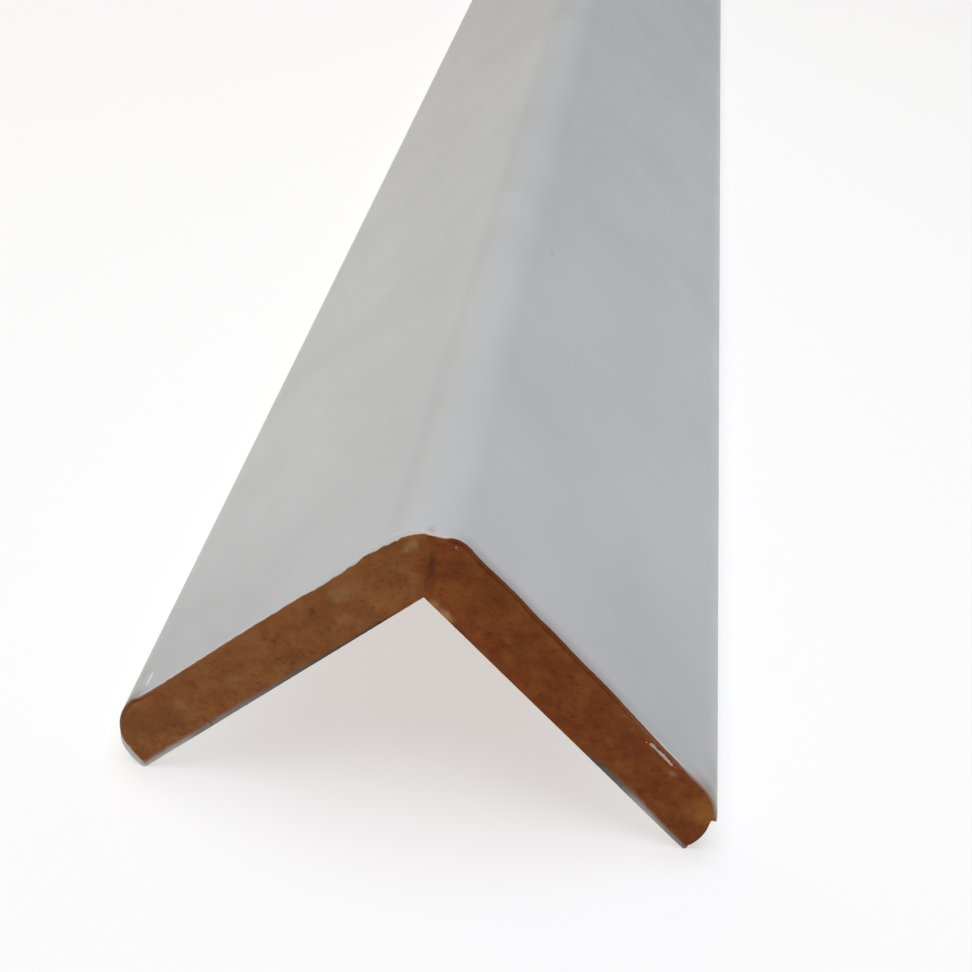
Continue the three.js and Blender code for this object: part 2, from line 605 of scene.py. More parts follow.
def resampled(points, count):
    """A number of the points, spread evenly over the list, with the last one kept."""
    picked = np.linspace(0, len(points) - 1, count)
    table = np.array(points)
    index = np.arange(len(points))
    return np.column_stack([np.interp(picked, index, table[:, column]) for column in (0, 1)])


back_points = np.array(back_line())
front_points = resampled(front_line(), len(back_points))
print("board section:", len(front_points), "columns")

# %% [markdown]
# The relief is read from the place on the section, in millimetres. Noise stretched along the leg gives the
# pressed layers of fibre, faint slanting waves are left by the saw's teeth, and where a coarser noise peaks
# a small pit is torn out. Towards its outline the face comes back up, nearly flush with the film's rim, so
# that no dark gap opens between the two. At the right tip, where the film broke off, the arris is frayed.

# %% Relief of a sawn end
SINK = 0.07  # lengths are in millimetres, and scales are noise cells a millimetre
FIBRE_SCALE_ALONG = 1.6
FIBRE_SCALE_DEEP = 5.5
FIBRE_RELIEF = 0.05
FUZZ_SCALE = 3.4
LUMP_SCALE = 0.8
LUMP_RELIEF = 0.05
SAW_WAVE = 0.55
SAW_SLANT = 0.8
SAW_RELIEF = 0.006
PIT_SCALE = 1.9
PIT_PLACE = Vector((9.1, 3.7, 0))
PIT_LEVEL = 0.33
PIT_RELIEF = 0.16
ARRIS_WIDTH = 0.35
ARRIS_SINK = 0.03
ARRIS_SCALE = 2.3
SHALLOWEST = 0.004
DEEPEST = 0.3


def relief(side, along, deep, from_outline, seed):
    """How far a point of the sawn face lies below the cut, in millimetres."""
    place = Vector((side * along, deep, seed))
    fibres = noise.noise(Vector((place.x * FIBRE_SCALE_ALONG, place.y * FIBRE_SCALE_DEEP, seed)))
    fuzz = noise.noise(place * FUZZ_SCALE)
    lumps = noise.noise(place * LUMP_SCALE)
    pits = max(0.0, noise.noise(place * PIT_SCALE + PIT_PLACE) - PIT_LEVEL)
    saw = math.sin((place.x * SAW_SLANT + place.y) * 2 * math.pi / SAW_WAVE + 2 * lumps)
    sunk = SINK + FIBRE_RELIEF * (fibres + fuzz) / 2 + LUMP_RELIEF * lumps + SAW_RELIEF * saw
    sunk += PIT_RELIEF * pits
    flush = max(0.0, 1 - from_outline / ARRIS_WIDTH)
    sunk += (ARRIS_SINK * (1 + noise.noise(place * ARRIS_SCALE)) - sunk) * flush
    return min(DEEPEST, max(SHALLOWEST, sunk))


# %% Fraying of the right tip
FRAY_REACH = 0.3  # millimetres
FRAY_RIM = 1.25  # share of the tip chip's reach where the fraying begins
FRAY_STEEPNESS = 2
FRAY_SEED = 4.2
RAGGED_NOISES = ((2.1, 0.7), (5.3, 0.5))  # scale and strength of each


def fray(side, along, deep, seed):
    """How far the arris of the right tip is frayed back towards the middle of the leg, in millimetres."""
    if side == LEFT:
        return 0.0
    across = (along - RIGHT_TIP_CHIP["along"]) / RIGHT_TIP_CHIP["along_reach"]
    down = (deep - RIGHT_TIP_CHIP["deep"]) / RIGHT_TIP_CHIP["deep_reach"]
    wear = min(1.0, max(0.0, FRAY_RIM - math.hypot(across, down)) * FRAY_STEEPNESS)
    place = Vector((along, deep, seed + FRAY_SEED))
    ragged = 0.5
    for scale, strength in RAGGED_NOISES:
        ragged += noise.noise(place * scale) * strength
    return max(0.0, ragged) * FRAY_REACH * wear


# %% [markdown]
# The strip's mesh is put together by index: the two end grids first, then the rings between them, which
# need only the outline. Building it for one side and mirroring it would turn the faces inside out, so the
# order of the corners follows the side.

# %% Points of a strip
LAYERS = 36
RING_DEPTHS = [0.12, 0.3, 0.6, 1.1, 2, 3.4, 5.5, 9, 15, 26, 44, 75]  # millimetres from either end
NEAR_RINGS = 1  # millimetres: rings nearer an end than this start below its deepest pit
FRAY_FADE = 0.45
END_SEEDS = {-1: 1.7, 1: 23.4}  # of the noise on the sawn end and on the far end


def skin_wear(side, grid, column, layer, end):
    """How far a point is frayed. Only the skin at the sawn end is."""
    on_skin = layer == 0 or column == len(grid) - 1
    if end > 0 or not on_skin:
        return 0.0
    along, deep = grid[column, layer]
    return fray(side, along / MM, deep / MM, END_SEEDS[end])


def worn_point(side, along, deep, from_end, end, wear):
    """A point of the strip, moved towards the middle of the leg by its wear, in millimetres."""
    middle = LEG_THICKNESS / 2
    towards = Vector((min(along, LEG_WIDTH - middle) - along, middle - deep))
    if towards.length > 0:
        towards.normalize()
    x, z = section_point(side, along + towards.x * wear * MM, deep + towards.y * wear * MM)
    return x, end * (HALF_LENGTH - from_end * MM), z


def end_points(side, grid, end):
    """The points of one sawn face, sunk by its relief."""
    points = []
    for column, line in enumerate(grid):
        for layer, (along, deep) in enumerate(line):
            to_outline = min(math.dist(line[layer], line[0]), math.dist(line[layer], line[-1]))
            sunk = relief(side, along / MM, deep / MM, to_outline / MM, END_SEEDS[end])
            wear = skin_wear(side, grid, column, layer, end)
            points.append(worn_point(side, along, deep, sunk, end, wear))
    return points


def ring_points(side, grid, border, end, depth):
    """The points of a ring round the strip. The fraying fades away from the sawn end."""
    from_end = depth + (DEEPEST if depth < NEAR_RINGS else 0)
    points = []
    for column, layer in border:
        wear = skin_wear(side, grid, column, layer, end) * math.exp(-depth / FRAY_FADE)
        points.append(worn_point(side, *grid[column, layer], from_end, end, wear))
    return points


# %% Faces of a strip
BOARD_SMOOTH_ANGLE = math.radians(48)


def outline_indices(columns, layers):
    """Index pairs of the grid's border, once round, starting at the mitre's front."""
    loop = [(column, 0) for column in range(columns)]
    loop += [(columns - 1, layer) for layer in range(1, layers)]
    loop += [(column, layers - 1) for column in range(columns - 2, -1, -1)]
    loop += [(0, layer) for layer in range(layers - 2, 0, -1)]
    return loop


def cap_faces(columns):
    """The faces of both end grids. The far one is turned, so that both look outwards."""
    faces = []
    for start, turned in ((0, False), (columns * LAYERS, True)):
        for column in range(columns - 1):
            for layer in range(LAYERS - 1):
                corner = start + column * LAYERS + layer
                quad = (corner, corner + LAYERS, corner + LAYERS + 1, corner + 1)
                faces.append(quad[::-1] if turned else quad)
    return faces


def side_faces(columns, border, ring_count):
    """The faces between each ring and the next. The first and last rings are the borders of the end grids."""
    per_end = columns * LAYERS
    around = len(border)
    near = [column * LAYERS + layer for column, layer in border]
    loops = [near]
    for ring in range(ring_count):
        first = 2 * per_end + ring * around
        loops.append(list(range(first, first + around)))
    loops.append([per_end + number for number in near])
    faces = []
    for loop, following in zip(loops, loops[1:]):
        for step in range(around):
            after = (step + 1) % around
            faces.append((loop[step], following[step], following[after], loop[after]))
    return faces


def strip_mesh(name, side):
    """A closed strip of board, with a relief on both ends."""
    columns = len(front_points)
    shares = np.linspace(0, 1, LAYERS)[None, :, None]
    grid = front_points[:, None, :] * (1 - shares) + back_points[:, None, :] * shares
    border = outline_indices(columns, LAYERS)
    rings = [(-1, depth) for depth in RING_DEPTHS] + [(1, depth) for depth in reversed(RING_DEPTHS)]
    points = end_points(side, grid, -1) + end_points(side, grid, 1)
    for end, depth in rings:
        points += ring_points(side, grid, border, end, depth)
    faces = cap_faces(columns) + side_faces(columns, border, len(rings))
    if side == RIGHT:
        faces = [face[::-1] for face in faces]
    mesh = bpy.data.meshes.new(name)
    mesh.from_pydata(points, [], faces)
    mesh.validate()
    mesh.shade_smooth()
    mesh.set_sharp_from_angle(angle=BOARD_SMOOTH_ANGLE)
    return new_object(name, mesh)


# %% Both strips


def enclosed_volume(mesh):
    """Volume of a closed mesh in cubic millimetres. It is below 0 if the faces point inwards."""
    total = 0.0
    mesh.calc_loop_triangles()
    for triangle in mesh.loop_triangles:
        a, b, c = (mesh.vertices[index].co for index in triangle.vertices)
        total += a.dot(b.cross(c)) / 6
    return total / MM ** 3


left_board = strip_mesh("left_board_sawn", LEFT)
right_board = strip_mesh("right_board_sawn", RIGHT)
for piece in (left_board, right_board, film):
    report(piece)
    print("  volume", round(enclosed_volume(piece.data)), "cubic mm")

# %% [markdown]
# ## Fibres on the sawn end
# A blunt blade leaves short fibres standing on fibreboard. There are far too many to place by hand, so
# Geometry Nodes scatter one small tapered fibre over the sawn face, turn each copy to lie nearly flat, and
# bend them all by noise. They keep clear of the face's outline, where the film's rim has to show clean. And
# nothing may stand out past the cut, so the last step holds every vertex behind it.

# %% Tree that scatters fibres
FIBRE_SIDES = 4
FIBRE_SEGMENTS = 3
SHALLOWEST_FIBRE = 0.9  # millimetres from the skin
DEEPEST_FIBRE = 5.6  # millimetres from the outer face
FACES_CUT = -0.5  # the Y of a normal is below this on the sawn end
FIBRE_LEAN = (1.25, 1.6)  # radians from upright
FIBRE_SIZES = (0.45, 1.5)  # times the fibre's own size
BEND_SCALE = 2.2 / MM
BEND_REACH = (0.34 * MM, 0.12 * MM, 0.34 * MM)
NOISE_CENTRE = (0.5, 0.5, 0.5)


def fibre_tree():
    """Geometry Nodes that cover the sawn end of a strip with short fibres, and give only the fibres."""
    inputs = {
        "Board": ("Geometry", None),
        "Lowest": ("Vector", None),
        "Highest": ("Vector", None),
        "Fibres Per Square Metre": ("Float", 1e6),
        "Fibre Length": ("Float", 0.5 * MM),
        "Fibre Radius": ("Float", 0.015 * MM),
        "Seed": ("Int", 0),
        "Fibre": ("Material", None),
    }
    tree, given, output_node = new_group("sawn fibres", "GeometryNodeTree", inputs, {"Fibres": "Geometry"})
    normal = add(tree, "GeometryNodeInputNormal").outputs[0]
    place = split(tree, mesh_position(tree))
    near_cut = maths(tree, "SUBTRACT", place["Y"], split(tree, given["Lowest"])["Y"])
    faces_cut = maths(tree, "LESS_THAN", split(tree, normal)["Y"], FACES_CUT)
    on_cut = maths(tree, "MULTIPLY", faces_cut, maths(tree, "LESS_THAN", near_cut, MM))
    leg = leg_fields(tree, mesh_position(tree))
    on_cut = maths(tree, "MULTIPLY", maths(tree, "LESS_THAN", leg["Deep"], DEEPEST_FIBRE), on_cut)
    on_cut = maths(tree, "MULTIPLY", maths(tree, "GREATER_THAN", leg["Skin Depth"], SHALLOWEST_FIBRE), on_cut)
    scatter = {"Mesh": given["Board"], "Selection": on_cut, "Seed": given["Seed"]}
    scatter["Density"] = given["Fibres Per Square Metre"]
    points = add(tree, "GeometryNodeDistributePointsOnFaces", scatter).outputs["Points"]
    cone = {"Vertices": FIBRE_SIDES, "Side Segments": FIBRE_SEGMENTS, "Radius Top": 0.0}
    cone.update({"Radius Bottom": given["Fibre Radius"], "Depth": given["Fibre Length"]})
    fibre = add(tree, "GeometryNodeMeshCone", cone).outputs["Mesh"]
    least, most = FIBRE_LEAN
    lean = {"Min": (least, 0.0, 0.0), "Max": (most, 0.0, 2 * math.pi), "Seed": given["Seed"]}
    turn = add(tree, "FunctionNodeRandomValue", lean, data_type="FLOAT_VECTOR").outputs[0]
    turns = {
        "Rotation": add(tree, "FunctionNodeEulerToRotation", {0: turn}).outputs[0],
        "Rotate By": add(tree, "FunctionNodeEulerToRotation", {0: (math.pi / 2, 0.0, 0.0)}).outputs[0],
    }
    rotation = add(tree, "FunctionNodeRotateRotation", turns, rotation_space="GLOBAL").outputs[0]
    smallest, largest = FIBRE_SIZES
    span = {2: smallest, 3: largest, "Seed": given["Seed"]}
    size = add(tree, "FunctionNodeRandomValue", span, data_type="FLOAT").outputs[1]
    copies = {"Points": points, "Instance": fibre, "Rotation": rotation, "Scale": size}
    spread = add(tree, "GeometryNodeInstanceOnPoints", copies).outputs[0]
    real = add(tree, "GeometryNodeRealizeInstances", {0: spread}).outputs[0]
    waves = {"Vector": mesh_position(tree), "Scale": BEND_SCALE, "Detail": 1.0}
    bend = add(tree, "ShaderNodeTexNoise", waves).outputs["Color"]
    bend = vector_maths(tree, "MULTIPLY", vector_maths(tree, "SUBTRACT", bend, NOISE_CENTRE), BEND_REACH)
    bent = add(tree, "GeometryNodeSetPosition", {"Geometry": real, "Offset": bend}).outputs[0]
    held = vector_maths(tree, "MAXIMUM", mesh_position(tree), given["Lowest"])
    held = vector_maths(tree, "MINIMUM", held, given["Highest"])
    kept = add(tree, "GeometryNodeSetPosition", {"Geometry": bent, "Position": held}).outputs[0]
    covered = add(tree, "GeometryNodeSetMaterial", {"Geometry": kept, "Material": given["Fibre"]}).outputs[0]
    set_inputs(tree, output_node, {"Fibres": covered})
    return tree


def fibres_on(board, name, material, seed):
    """A piece that holds the fibres of one board's sawn end."""
    made = new_object(name, board.data.copy())
    values = {
        "Lowest": cad_low,
        "Highest": cad_high,
        "Fibres Per Square Metre": 5e6,
        "Fibre Length": 0.5 * MM,
        "Fibre Radius": 0.016 * MM,
        "Seed": seed,
        "Fibre": material,
    }
    run_tree(made, SAWN_FIBRES, values)
    report(made)
    return made


SAWN_FIBRES = fibre_tree()
left_board_material = bpy.data.materials.new("olive_brown_fibreboard")
right_board_material = bpy.data.materials.new("red_brown_fibreboard")
left_fibres = fibres_on(left_board, "left_board_fibres", left_board_material, seed=3)
right_fibres = fibres_on(right_board, "right_board_fibres", right_board_material, seed=8)

# %% [markdown]
# ## Torn film
# One ragged flake of film about 3 mm long stayed on the right strip's sawn face, with a few teeth along its
# upper side and a tuft at one end, and a few crumbs no wider than a grain of salt. On the left face, close
# to the cut, a short pinched crease stands up in the film. The flake is a closed ribbon round a bent line,
# domed so that its lower half falls into shade. Its teeth are listed, because there are only nine and each
# has its own height.

# %% The flake on the sawn face
FLAKE_THICKNESS = 0.14 * MM
FLAKE_STEPS = 84
FLAKE_LINE = [(28.15, 0.87), (29.7, 0.7), (31.2, 0.84)]  # along and deep: start, pull and end, in millimetres
FLAKE_HALF_WIDTH = 0.15  # millimetres
FLAKE_NECK = {"at": 0.24, "reach": 0.12, "depth": 0.35}
FLAKE_TEETH = [  # share of the length, height in millimetres
    (0.03, 0.16),
    (0.09, 0.26),
    (0.16, 0.2),
    (0.21, 0.08),
    (0.4, 0.08),
    (0.52, 0.14),
    (0.61, 0.09),
    (0.8, 0.1),
    (0.94, 0.08),
]
TOOTH_REACH = 0.03  # share of the length
FLAKE_AROUND = 9
FLAKE_NARROWEST = 0.12  # share of its width that is left at its ends
FLAKE_END_SHARE = 0.06  # how much of the swell's half wave is left out at either end
FLAKE_RIM = 0.55  # share of its thickness at the sides
UPPER_WAVES = {"scale": 11, "seed": 3.3, "depth": 0.18}
LOWER_WAVES = {"scale": 17, "seed": 7.9, "depth": 0.3}


def bent_place(line, share):
    """A place on the curve from the first point to the third, pulled towards the second."""
    start, pull, end = (Vector(point) for point in line)
    return start * (1 - share) ** 2 + pull * 2 * share * (1 - share) + end * share ** 2


def ring_mesh(name, rings):
    """A closed tube of a piece: rings of as many points each, with a face at both ends."""
    around = len(rings[0])
    faces = [tuple(range(around))]
    for step in range(len(rings) - 1):
        for corner in range(around):
            first = step * around + corner
            second = step * around + (corner + 1) % around
            faces.append((second, first, first + around, second + around))
    last = (len(rings) - 1) * around
    faces.append(tuple(last + corner for corner in reversed(range(around))))
    mesh = bpy.data.meshes.new(name)
    mesh.from_pydata([point for ring in rings for point in ring], [], faces)
    if enclosed_volume(mesh) < 0:
        mesh.flip_normals()
    mesh.shade_smooth()
    return new_object(name, mesh)


def flake_reach(share, swell, waves):
    """How far one side of the flake stands off its line, in millimetres."""
    wave = noise.noise(Vector((waves["scale"] * share, waves["seed"], 0)))
    return FLAKE_HALF_WIDTH * swell * (1 + waves["depth"] * wave)


def flake_rings():
    """Rings of the flake. Their top is a half round, and their underside is flat, inside the relief."""
    rings = []
    for step in range(FLAKE_STEPS + 1):
        share = step / FLAKE_STEPS
        place = bent_place(FLAKE_LINE, share)
        wave = math.sin(math.pi * (FLAKE_END_SHARE + (1 - 2 * FLAKE_END_SHARE) * share))
        neck = FLAKE_NECK["depth"] * math.exp(-(((share - FLAKE_NECK["at"]) / FLAKE_NECK["reach"]) ** 2))
        swell = max(FLAKE_NARROWEST, math.sqrt(wave)) * (1 - neck)
        teeth = sum(height * max(0.0, 1 - abs(share - at) / TOOTH_REACH) for at, height in FLAKE_TEETH)
        upper = flake_reach(share, swell, UPPER_WAVES) + teeth
        lower = flake_reach(share, swell, LOWER_WAVES)
        ring = []
        for turn in range(FLAKE_AROUND):
            angle = math.pi * turn / (FLAKE_AROUND - 1)
            reach = upper if turn < FLAKE_AROUND // 2 else lower
            x, z = section_point(RIGHT, place.x * MM, (place.y - reach * math.cos(angle)) * MM)
            dome = FLAKE_RIM + (1 - FLAKE_RIM) * math.sin(angle)
            lift = FLAKE_THICKNESS * dome * (1 + swell) / 2
            ring.append((x, -HALF_LENGTH + FLAKE_THICKNESS - lift, z))
        rings.append(ring)
    return rings


torn_flake = ring_mesh("torn_film_flake", flake_rings())
# in_shade: painted shade on the flake's lower half, where it lies against the board.
shades = [turn / (FLAKE_AROUND - 1) for turn in range(FLAKE_AROUND)]
set_attribute(torn_flake.data, "in_shade", shades * (FLAKE_STEPS + 1))
report(torn_flake)

# %% Crumbs of film
CRUMBS = [  # along, deep and radius, in millimetres
    (3.84, 0.67, 0.08),
    (4.08, 0.68, 0.045),
    (24.5, 0.62, 0.035),
    (26.0, 1.0, 0.04),
    (27.86, 0.97, 0.07),
    (31.4, 0.76, 0.04),
]
CRUMB_SHADE = 0.55
CRUMB_FLATNESS = 0.7
CRUMB_JITTER = 0.3
CRUMB_ROUGHNESS = 1.7


def crumbs_mesh(name, side, crumbs):
    """Small lumps of torn film, half sunk in the sawn face."""
    lumps = bmesh.new()
    for along, deep, radius in crumbs:
        x, z = section_point(side, along * MM, deep * MM)
        made = bmesh.ops.create_icosphere(lumps, subdivisions=2, radius=radius * MM)["verts"]
        for vertex in made:
            lump = noise.noise(vertex.co / (radius * MM) * CRUMB_ROUGHNESS + Vector((along, deep, 0)))
            vertex.co *= 1 + CRUMB_JITTER * lump
            vertex.co.y = max(vertex.co.y, -radius * MM) * CRUMB_FLATNESS
            vertex.co += Vector((x, -HALF_LENGTH + radius * CRUMB_FLATNESS * MM, z))
    mesh = bpy.data.meshes.new(name)
    lumps.to_mesh(mesh)
    lumps.free()
    mesh.shade_smooth()
    set_attribute(mesh, "in_shade", [CRUMB_SHADE] * len(mesh.vertices))
    return new_object(name, mesh)


film_crumbs = crumbs_mesh("torn_film_crumbs", RIGHT, CRUMBS)
report(film_crumbs)

# %% The crease near the left tip
CREASE_HEIGHT = 0.1 * MM
CREASE_SINK = 0.02 * MM
CREASE_START = Vector((33.3, 3.1))  # along the left leg and from the sawn end, in millimetres
CREASE_END = Vector((33.3, 0.95))
CREASE_HALF_WIDTH = 0.23
CREASE_STEPS = 18
CREASE_AROUND = 10
CREASE_NARROWEST = 0.02
CREASE_BLUNTNESS = 0.8


def crease_rings():
    """Rings of a pinched ridge on the outer face of the film."""
    run = CREASE_END - CREASE_START
    across = Vector((-run.y, run.x)).normalized()
    rings = []
    for step in range(CREASE_STEPS + 1):
        share = step / CREASE_STEPS
        swell = max(CREASE_NARROWEST, math.sin(math.pi * share) ** CREASE_BLUNTNESS)
        ring = []
        for turn in range(CREASE_AROUND):
            angle = 2 * math.pi * (turn + 0.5) / CREASE_AROUND
            place = CREASE_START + run * share + across * CREASE_HALF_WIDTH * swell * math.cos(angle)
            rise = CREASE_HEIGHT * swell * max(0.0, math.sin(angle)) - CREASE_SINK * (math.sin(angle) < 0)
            x, z = section_point(LEFT, place.x * MM, -rise)
            ring.append((x, -HALF_LENGTH + place.y * MM, z))
        rings.append(ring)
    return rings


film_crease = ring_mesh("film_crease", crease_rings())
report(film_crease)

# %% [markdown]
# ## Finishes
# Two small groups serve several materials. A soft spot is a stain, patch or mark with a wavy border, given
# by its centre and reach in millimetres. Specks are the few cells of a Voronoi pattern whose random colour
# is high, so they stay sparse at any scale.

# %% Shared effects
def spot_group():
    """A soft-edged patch: 1 inside, 0 outside."""
    inputs = {
        "Vector": ("Vector", None),
        "Centre": ("Vector", None),
        "Reach": ("Vector", (1.0, 1.0, 1.0)),
        "Softness": ("Float", 0.6),
        "Waviness": ("Float", 0.3),
        "Wave Scale": ("Float", 1.0),
    }
    group, given, output_node = new_group("soft spot", "ShaderNodeTree", inputs, {"Mask": "Float"})
    waves = add(group, "ShaderNodeTexNoise", {"Vector": given["Vector"], "Scale": given["Wave Scale"]})
    push = vector_maths(group, "SUBTRACT", waves.outputs["Color"], NOISE_CENTRE)
    moved = vector_maths(group, "ADD", given["Vector"], scaled(group, push, given["Waviness"]))
    away = vector_maths(group, "SUBTRACT", moved, given["Centre"])
    distance = length_of(group, vector_maths(group, "DIVIDE", away, given["Reach"]))
    inner = maths(group, "SUBTRACT", 1.0, given["Softness"])
    set_inputs(group, output_node, {"Mask": ramp(group, distance, inner, 1.0, 1.0, 0.0)})
    return group


def speck_group():
    """Sparse round specks: 1 in a speck, 0 elsewhere."""
    inputs = {
        "Vector": ("Vector", None),
        "Scale": ("Float", 0.3),
        "Share": ("Float", 0.1),
        "Size": ("Float", 0.12),
    }
    group, given, output_node = new_group("specks", "ShaderNodeTree", inputs, {"Mask": "Float"})
    cells = add(group, "ShaderNodeTexVoronoi", {"Vector": given["Vector"], "Scale": given["Scale"]})
    pick = add(group, "ShaderNodeSeparateColor", {0: cells.outputs["Color"]}).outputs[0]
    chosen = maths(group, "LESS_THAN", pick, given["Share"])
    dot = ramp(group, cells.outputs["Distance"], 0.0, given["Size"], 1.0, 0.0)
    set_inputs(group, output_node, {"Mask": maths(group, "MULTIPLY", dot, chosen)})
    return group


SPOT_GROUP = spot_group()
SPECK_GROUP = speck_group()


def use_group(tree, group, inputs):
    """A group placed in a material, as its outputs."""
    return add(tree, "ShaderNodeGroup", inputs, node_tree=group).outputs


def spot(tree, vector, centre, reach, softness=0.6, waviness=0.3, wave_scale=1.0):
    """The mask of a soft spot."""
    inputs = {"Vector": vector, "Centre": centre, "Reach": reach, "Softness": softness}
    inputs.update({"Waviness": waviness, "Wave Scale": wave_scale})
    return use_group(tree, SPOT_GROUP, inputs)["Mask"]


def object_position(tree):
    """The place of each point on its own piece, in metres."""
    return add(tree, "ShaderNodeTexCoord").outputs["Object"]


def bump(tree, height, strength, distance):
    """A normal that follows a height. The distance is in millimetres."""
    inputs = {"Height": height, "Strength": strength, "Distance": distance * MM}
    return add(tree, "ShaderNodeBump", inputs).outputs["Normal"]


def start_material(material):
    """Empties a material to a Principled shader and its output, and gives the tree, shader and leg fields."""
    material.use_nodes = True
    tree = material.node_tree
    tree.nodes.clear()
    shader = add(tree, "ShaderNodeBsdfPrincipled")
    add(tree, "ShaderNodeOutputMaterial", {"Surface": shader.outputs[0]})
    return tree, shader, use_group(tree, LEG_GROUP, {"Position": object_position(tree)})


# %% [markdown]
# ### Sawn fibreboard
# The sawn face is mottled in patches of a few millimetres, with finer fibre in them, because the pressed
# fibre is of mixed woods and takes up resin unevenly. The saw left the face a shade darker in a thin line
# under the film, which hardly shows. The bare back was sanded: one even tone with faint lines along the
# length. Both strips share this group, and each material adds the marks of its own strip. The tone of the
# sawn face is the sum of four noises, from patches down to fluff, and each has its share of it.

# %% Fibreboard group
PATCH_LEVELS = (0.3, 0.72)
TONE_SHARES = {"patches": 0.55, "blotches": 0.27, "fibres": 0.1, "fluff": 0.13}
LAYER_STRETCH = (1.3, 6.5, 1.3)  # fibres lie flat along the leg
BLUSH_SHIFT = (17.3, 5.1, 2.9)
BLUSH_LEVELS = (0.46, 0.72)
BLUSH_STRENGTH = 0.6
SCORCH_WANDER = 0.3
SCORCH_DEPTHS = (0.05, 0.6)
SCORCH_STRENGTH = 0.12
SANDING_STRETCH = (5.0, 5.0, 0.05)
BACK_LEVELS = (0.25, 0.75)
SAWN_REACH = (0.35, 0.8)  # millimetres from either end, where the sawn finish gives way to the sanded one
SAWN_ROUGHNESS = 0.92
BACK_ROUGHNESS = 0.7
SANDING_HEIGHT = 0.25
FLUFF_HEIGHT = 0.6
BACK_TONE_SHARES = {"drift": 0.5, "sanding": 0.3, "fibres": 0.2}


def fibreboard_group():
    """Colour, roughness and relief height of bare fibreboard, sawn and sanded."""
    colours = ("Dark", "Light", "Blush", "Scorch", "Back")
    inputs = {label: ("Color", None) for label in colours}
    inputs.update({"Position": ("Vector", None), "Seed": ("Vector", None)})
    outputs = {"Color": "Color", "Roughness": "Float", "Height": "Float"}
    group, given, output_node = new_group("fibreboard", "ShaderNodeTree", inputs, outputs)
    leg = leg_fields(group, given["Position"])
    grain = vector_maths(group, "ADD", leg["Leg Vector"], given["Seed"])

    patches = noise_field(group, grain, scale=0.42, detail=3.0, roughness=0.55, distortion=0.6)
    blotches = noise_field(group, grain, scale=1.15, detail=3.0, roughness=0.6)
    layered = vector_maths(group, "MULTIPLY", grain, LAYER_STRETCH)
    fibres = noise_field(group, layered, scale=1.0, detail=4.0, roughness=0.7)
    fluff = noise_field(group, grain, scale=7.0, detail=3.0, roughness=0.75)
    layers = {
        "patches": ramp(group, patches, *PATCH_LEVELS),
        "blotches": stretched(group, blotches),
        "fibres": stretched(group, fibres),
        "fluff": stretched(group, fluff),
    }
    tone = 0.0
    for name, layer in layers.items():
        tone = maths(group, "MULTIPLY_ADD", layer, TONE_SHARES[name], tone)
    sawn = mix_colour(group, tone, given["Dark"], given["Light"])
    elsewhere = vector_maths(group, "ADD", grain, BLUSH_SHIFT)
    reddened = noise_field(group, elsewhere, scale=0.36, detail=3.0, roughness=0.6, distortion=0.8)
    blush = ramp(group, reddened, *BLUSH_LEVELS, 0.0, BLUSH_STRENGTH)
    sawn = mix_colour(group, blush, sawn, given["Blush"])

    wander = maths(group, "MULTIPLY_ADD", blotches, SCORCH_WANDER, -SCORCH_WANDER / 2)
    below_skin = maths(group, "ADD", leg["Skin Depth"], wander)
    scorched = ramp(group, below_skin, *SCORCH_DEPTHS, SCORCH_STRENGTH, 0.0)
    sawn = mix_colour(group, scorched, sawn, given["Scorch"])

    lengthwise = vector_maths(group, "MULTIPLY", grain, SANDING_STRETCH)
    sanding = noise_field(group, lengthwise, scale=1.0, detail=3.0)
    drift = noise_field(group, grain, scale=0.12, detail=3.0)
    back_tone = maths(group, "MULTIPLY", sanding, BACK_TONE_SHARES["sanding"])
    back_tone = maths(group, "MULTIPLY_ADD", drift, BACK_TONE_SHARES["drift"], back_tone)
    back_tone = maths(group, "MULTIPLY_ADD", fibres, BACK_TONE_SHARES["fibres"], back_tone)
    back = mix_colour(group, ramp(group, back_tone, *BACK_LEVELS), given["Back"], given["Light"])

    is_sawn = ramp(group, leg["From Either End"], *SAWN_REACH, 1.0, 0.0)
    heights = {
        2: maths(group, "MULTIPLY", sanding, SANDING_HEIGHT),
        3: maths(group, "MULTIPLY_ADD", fluff, FLUFF_HEIGHT, fibres),
    }
    roughnesses = {2: BACK_ROUGHNESS, 3: SAWN_ROUGHNESS}
    finish = {
        "Color": mix_colour(group, is_sawn, back, sawn),
        "Height": add(group, "ShaderNodeMix", {0: is_sawn, **heights}).outputs[0],
        "Roughness": add(group, "ShaderNodeMix", {0: is_sawn, **roughnesses}).outputs[0],
    }
    set_inputs(group, output_node, finish)
    return group


FIBREBOARD_GROUP = fibreboard_group()
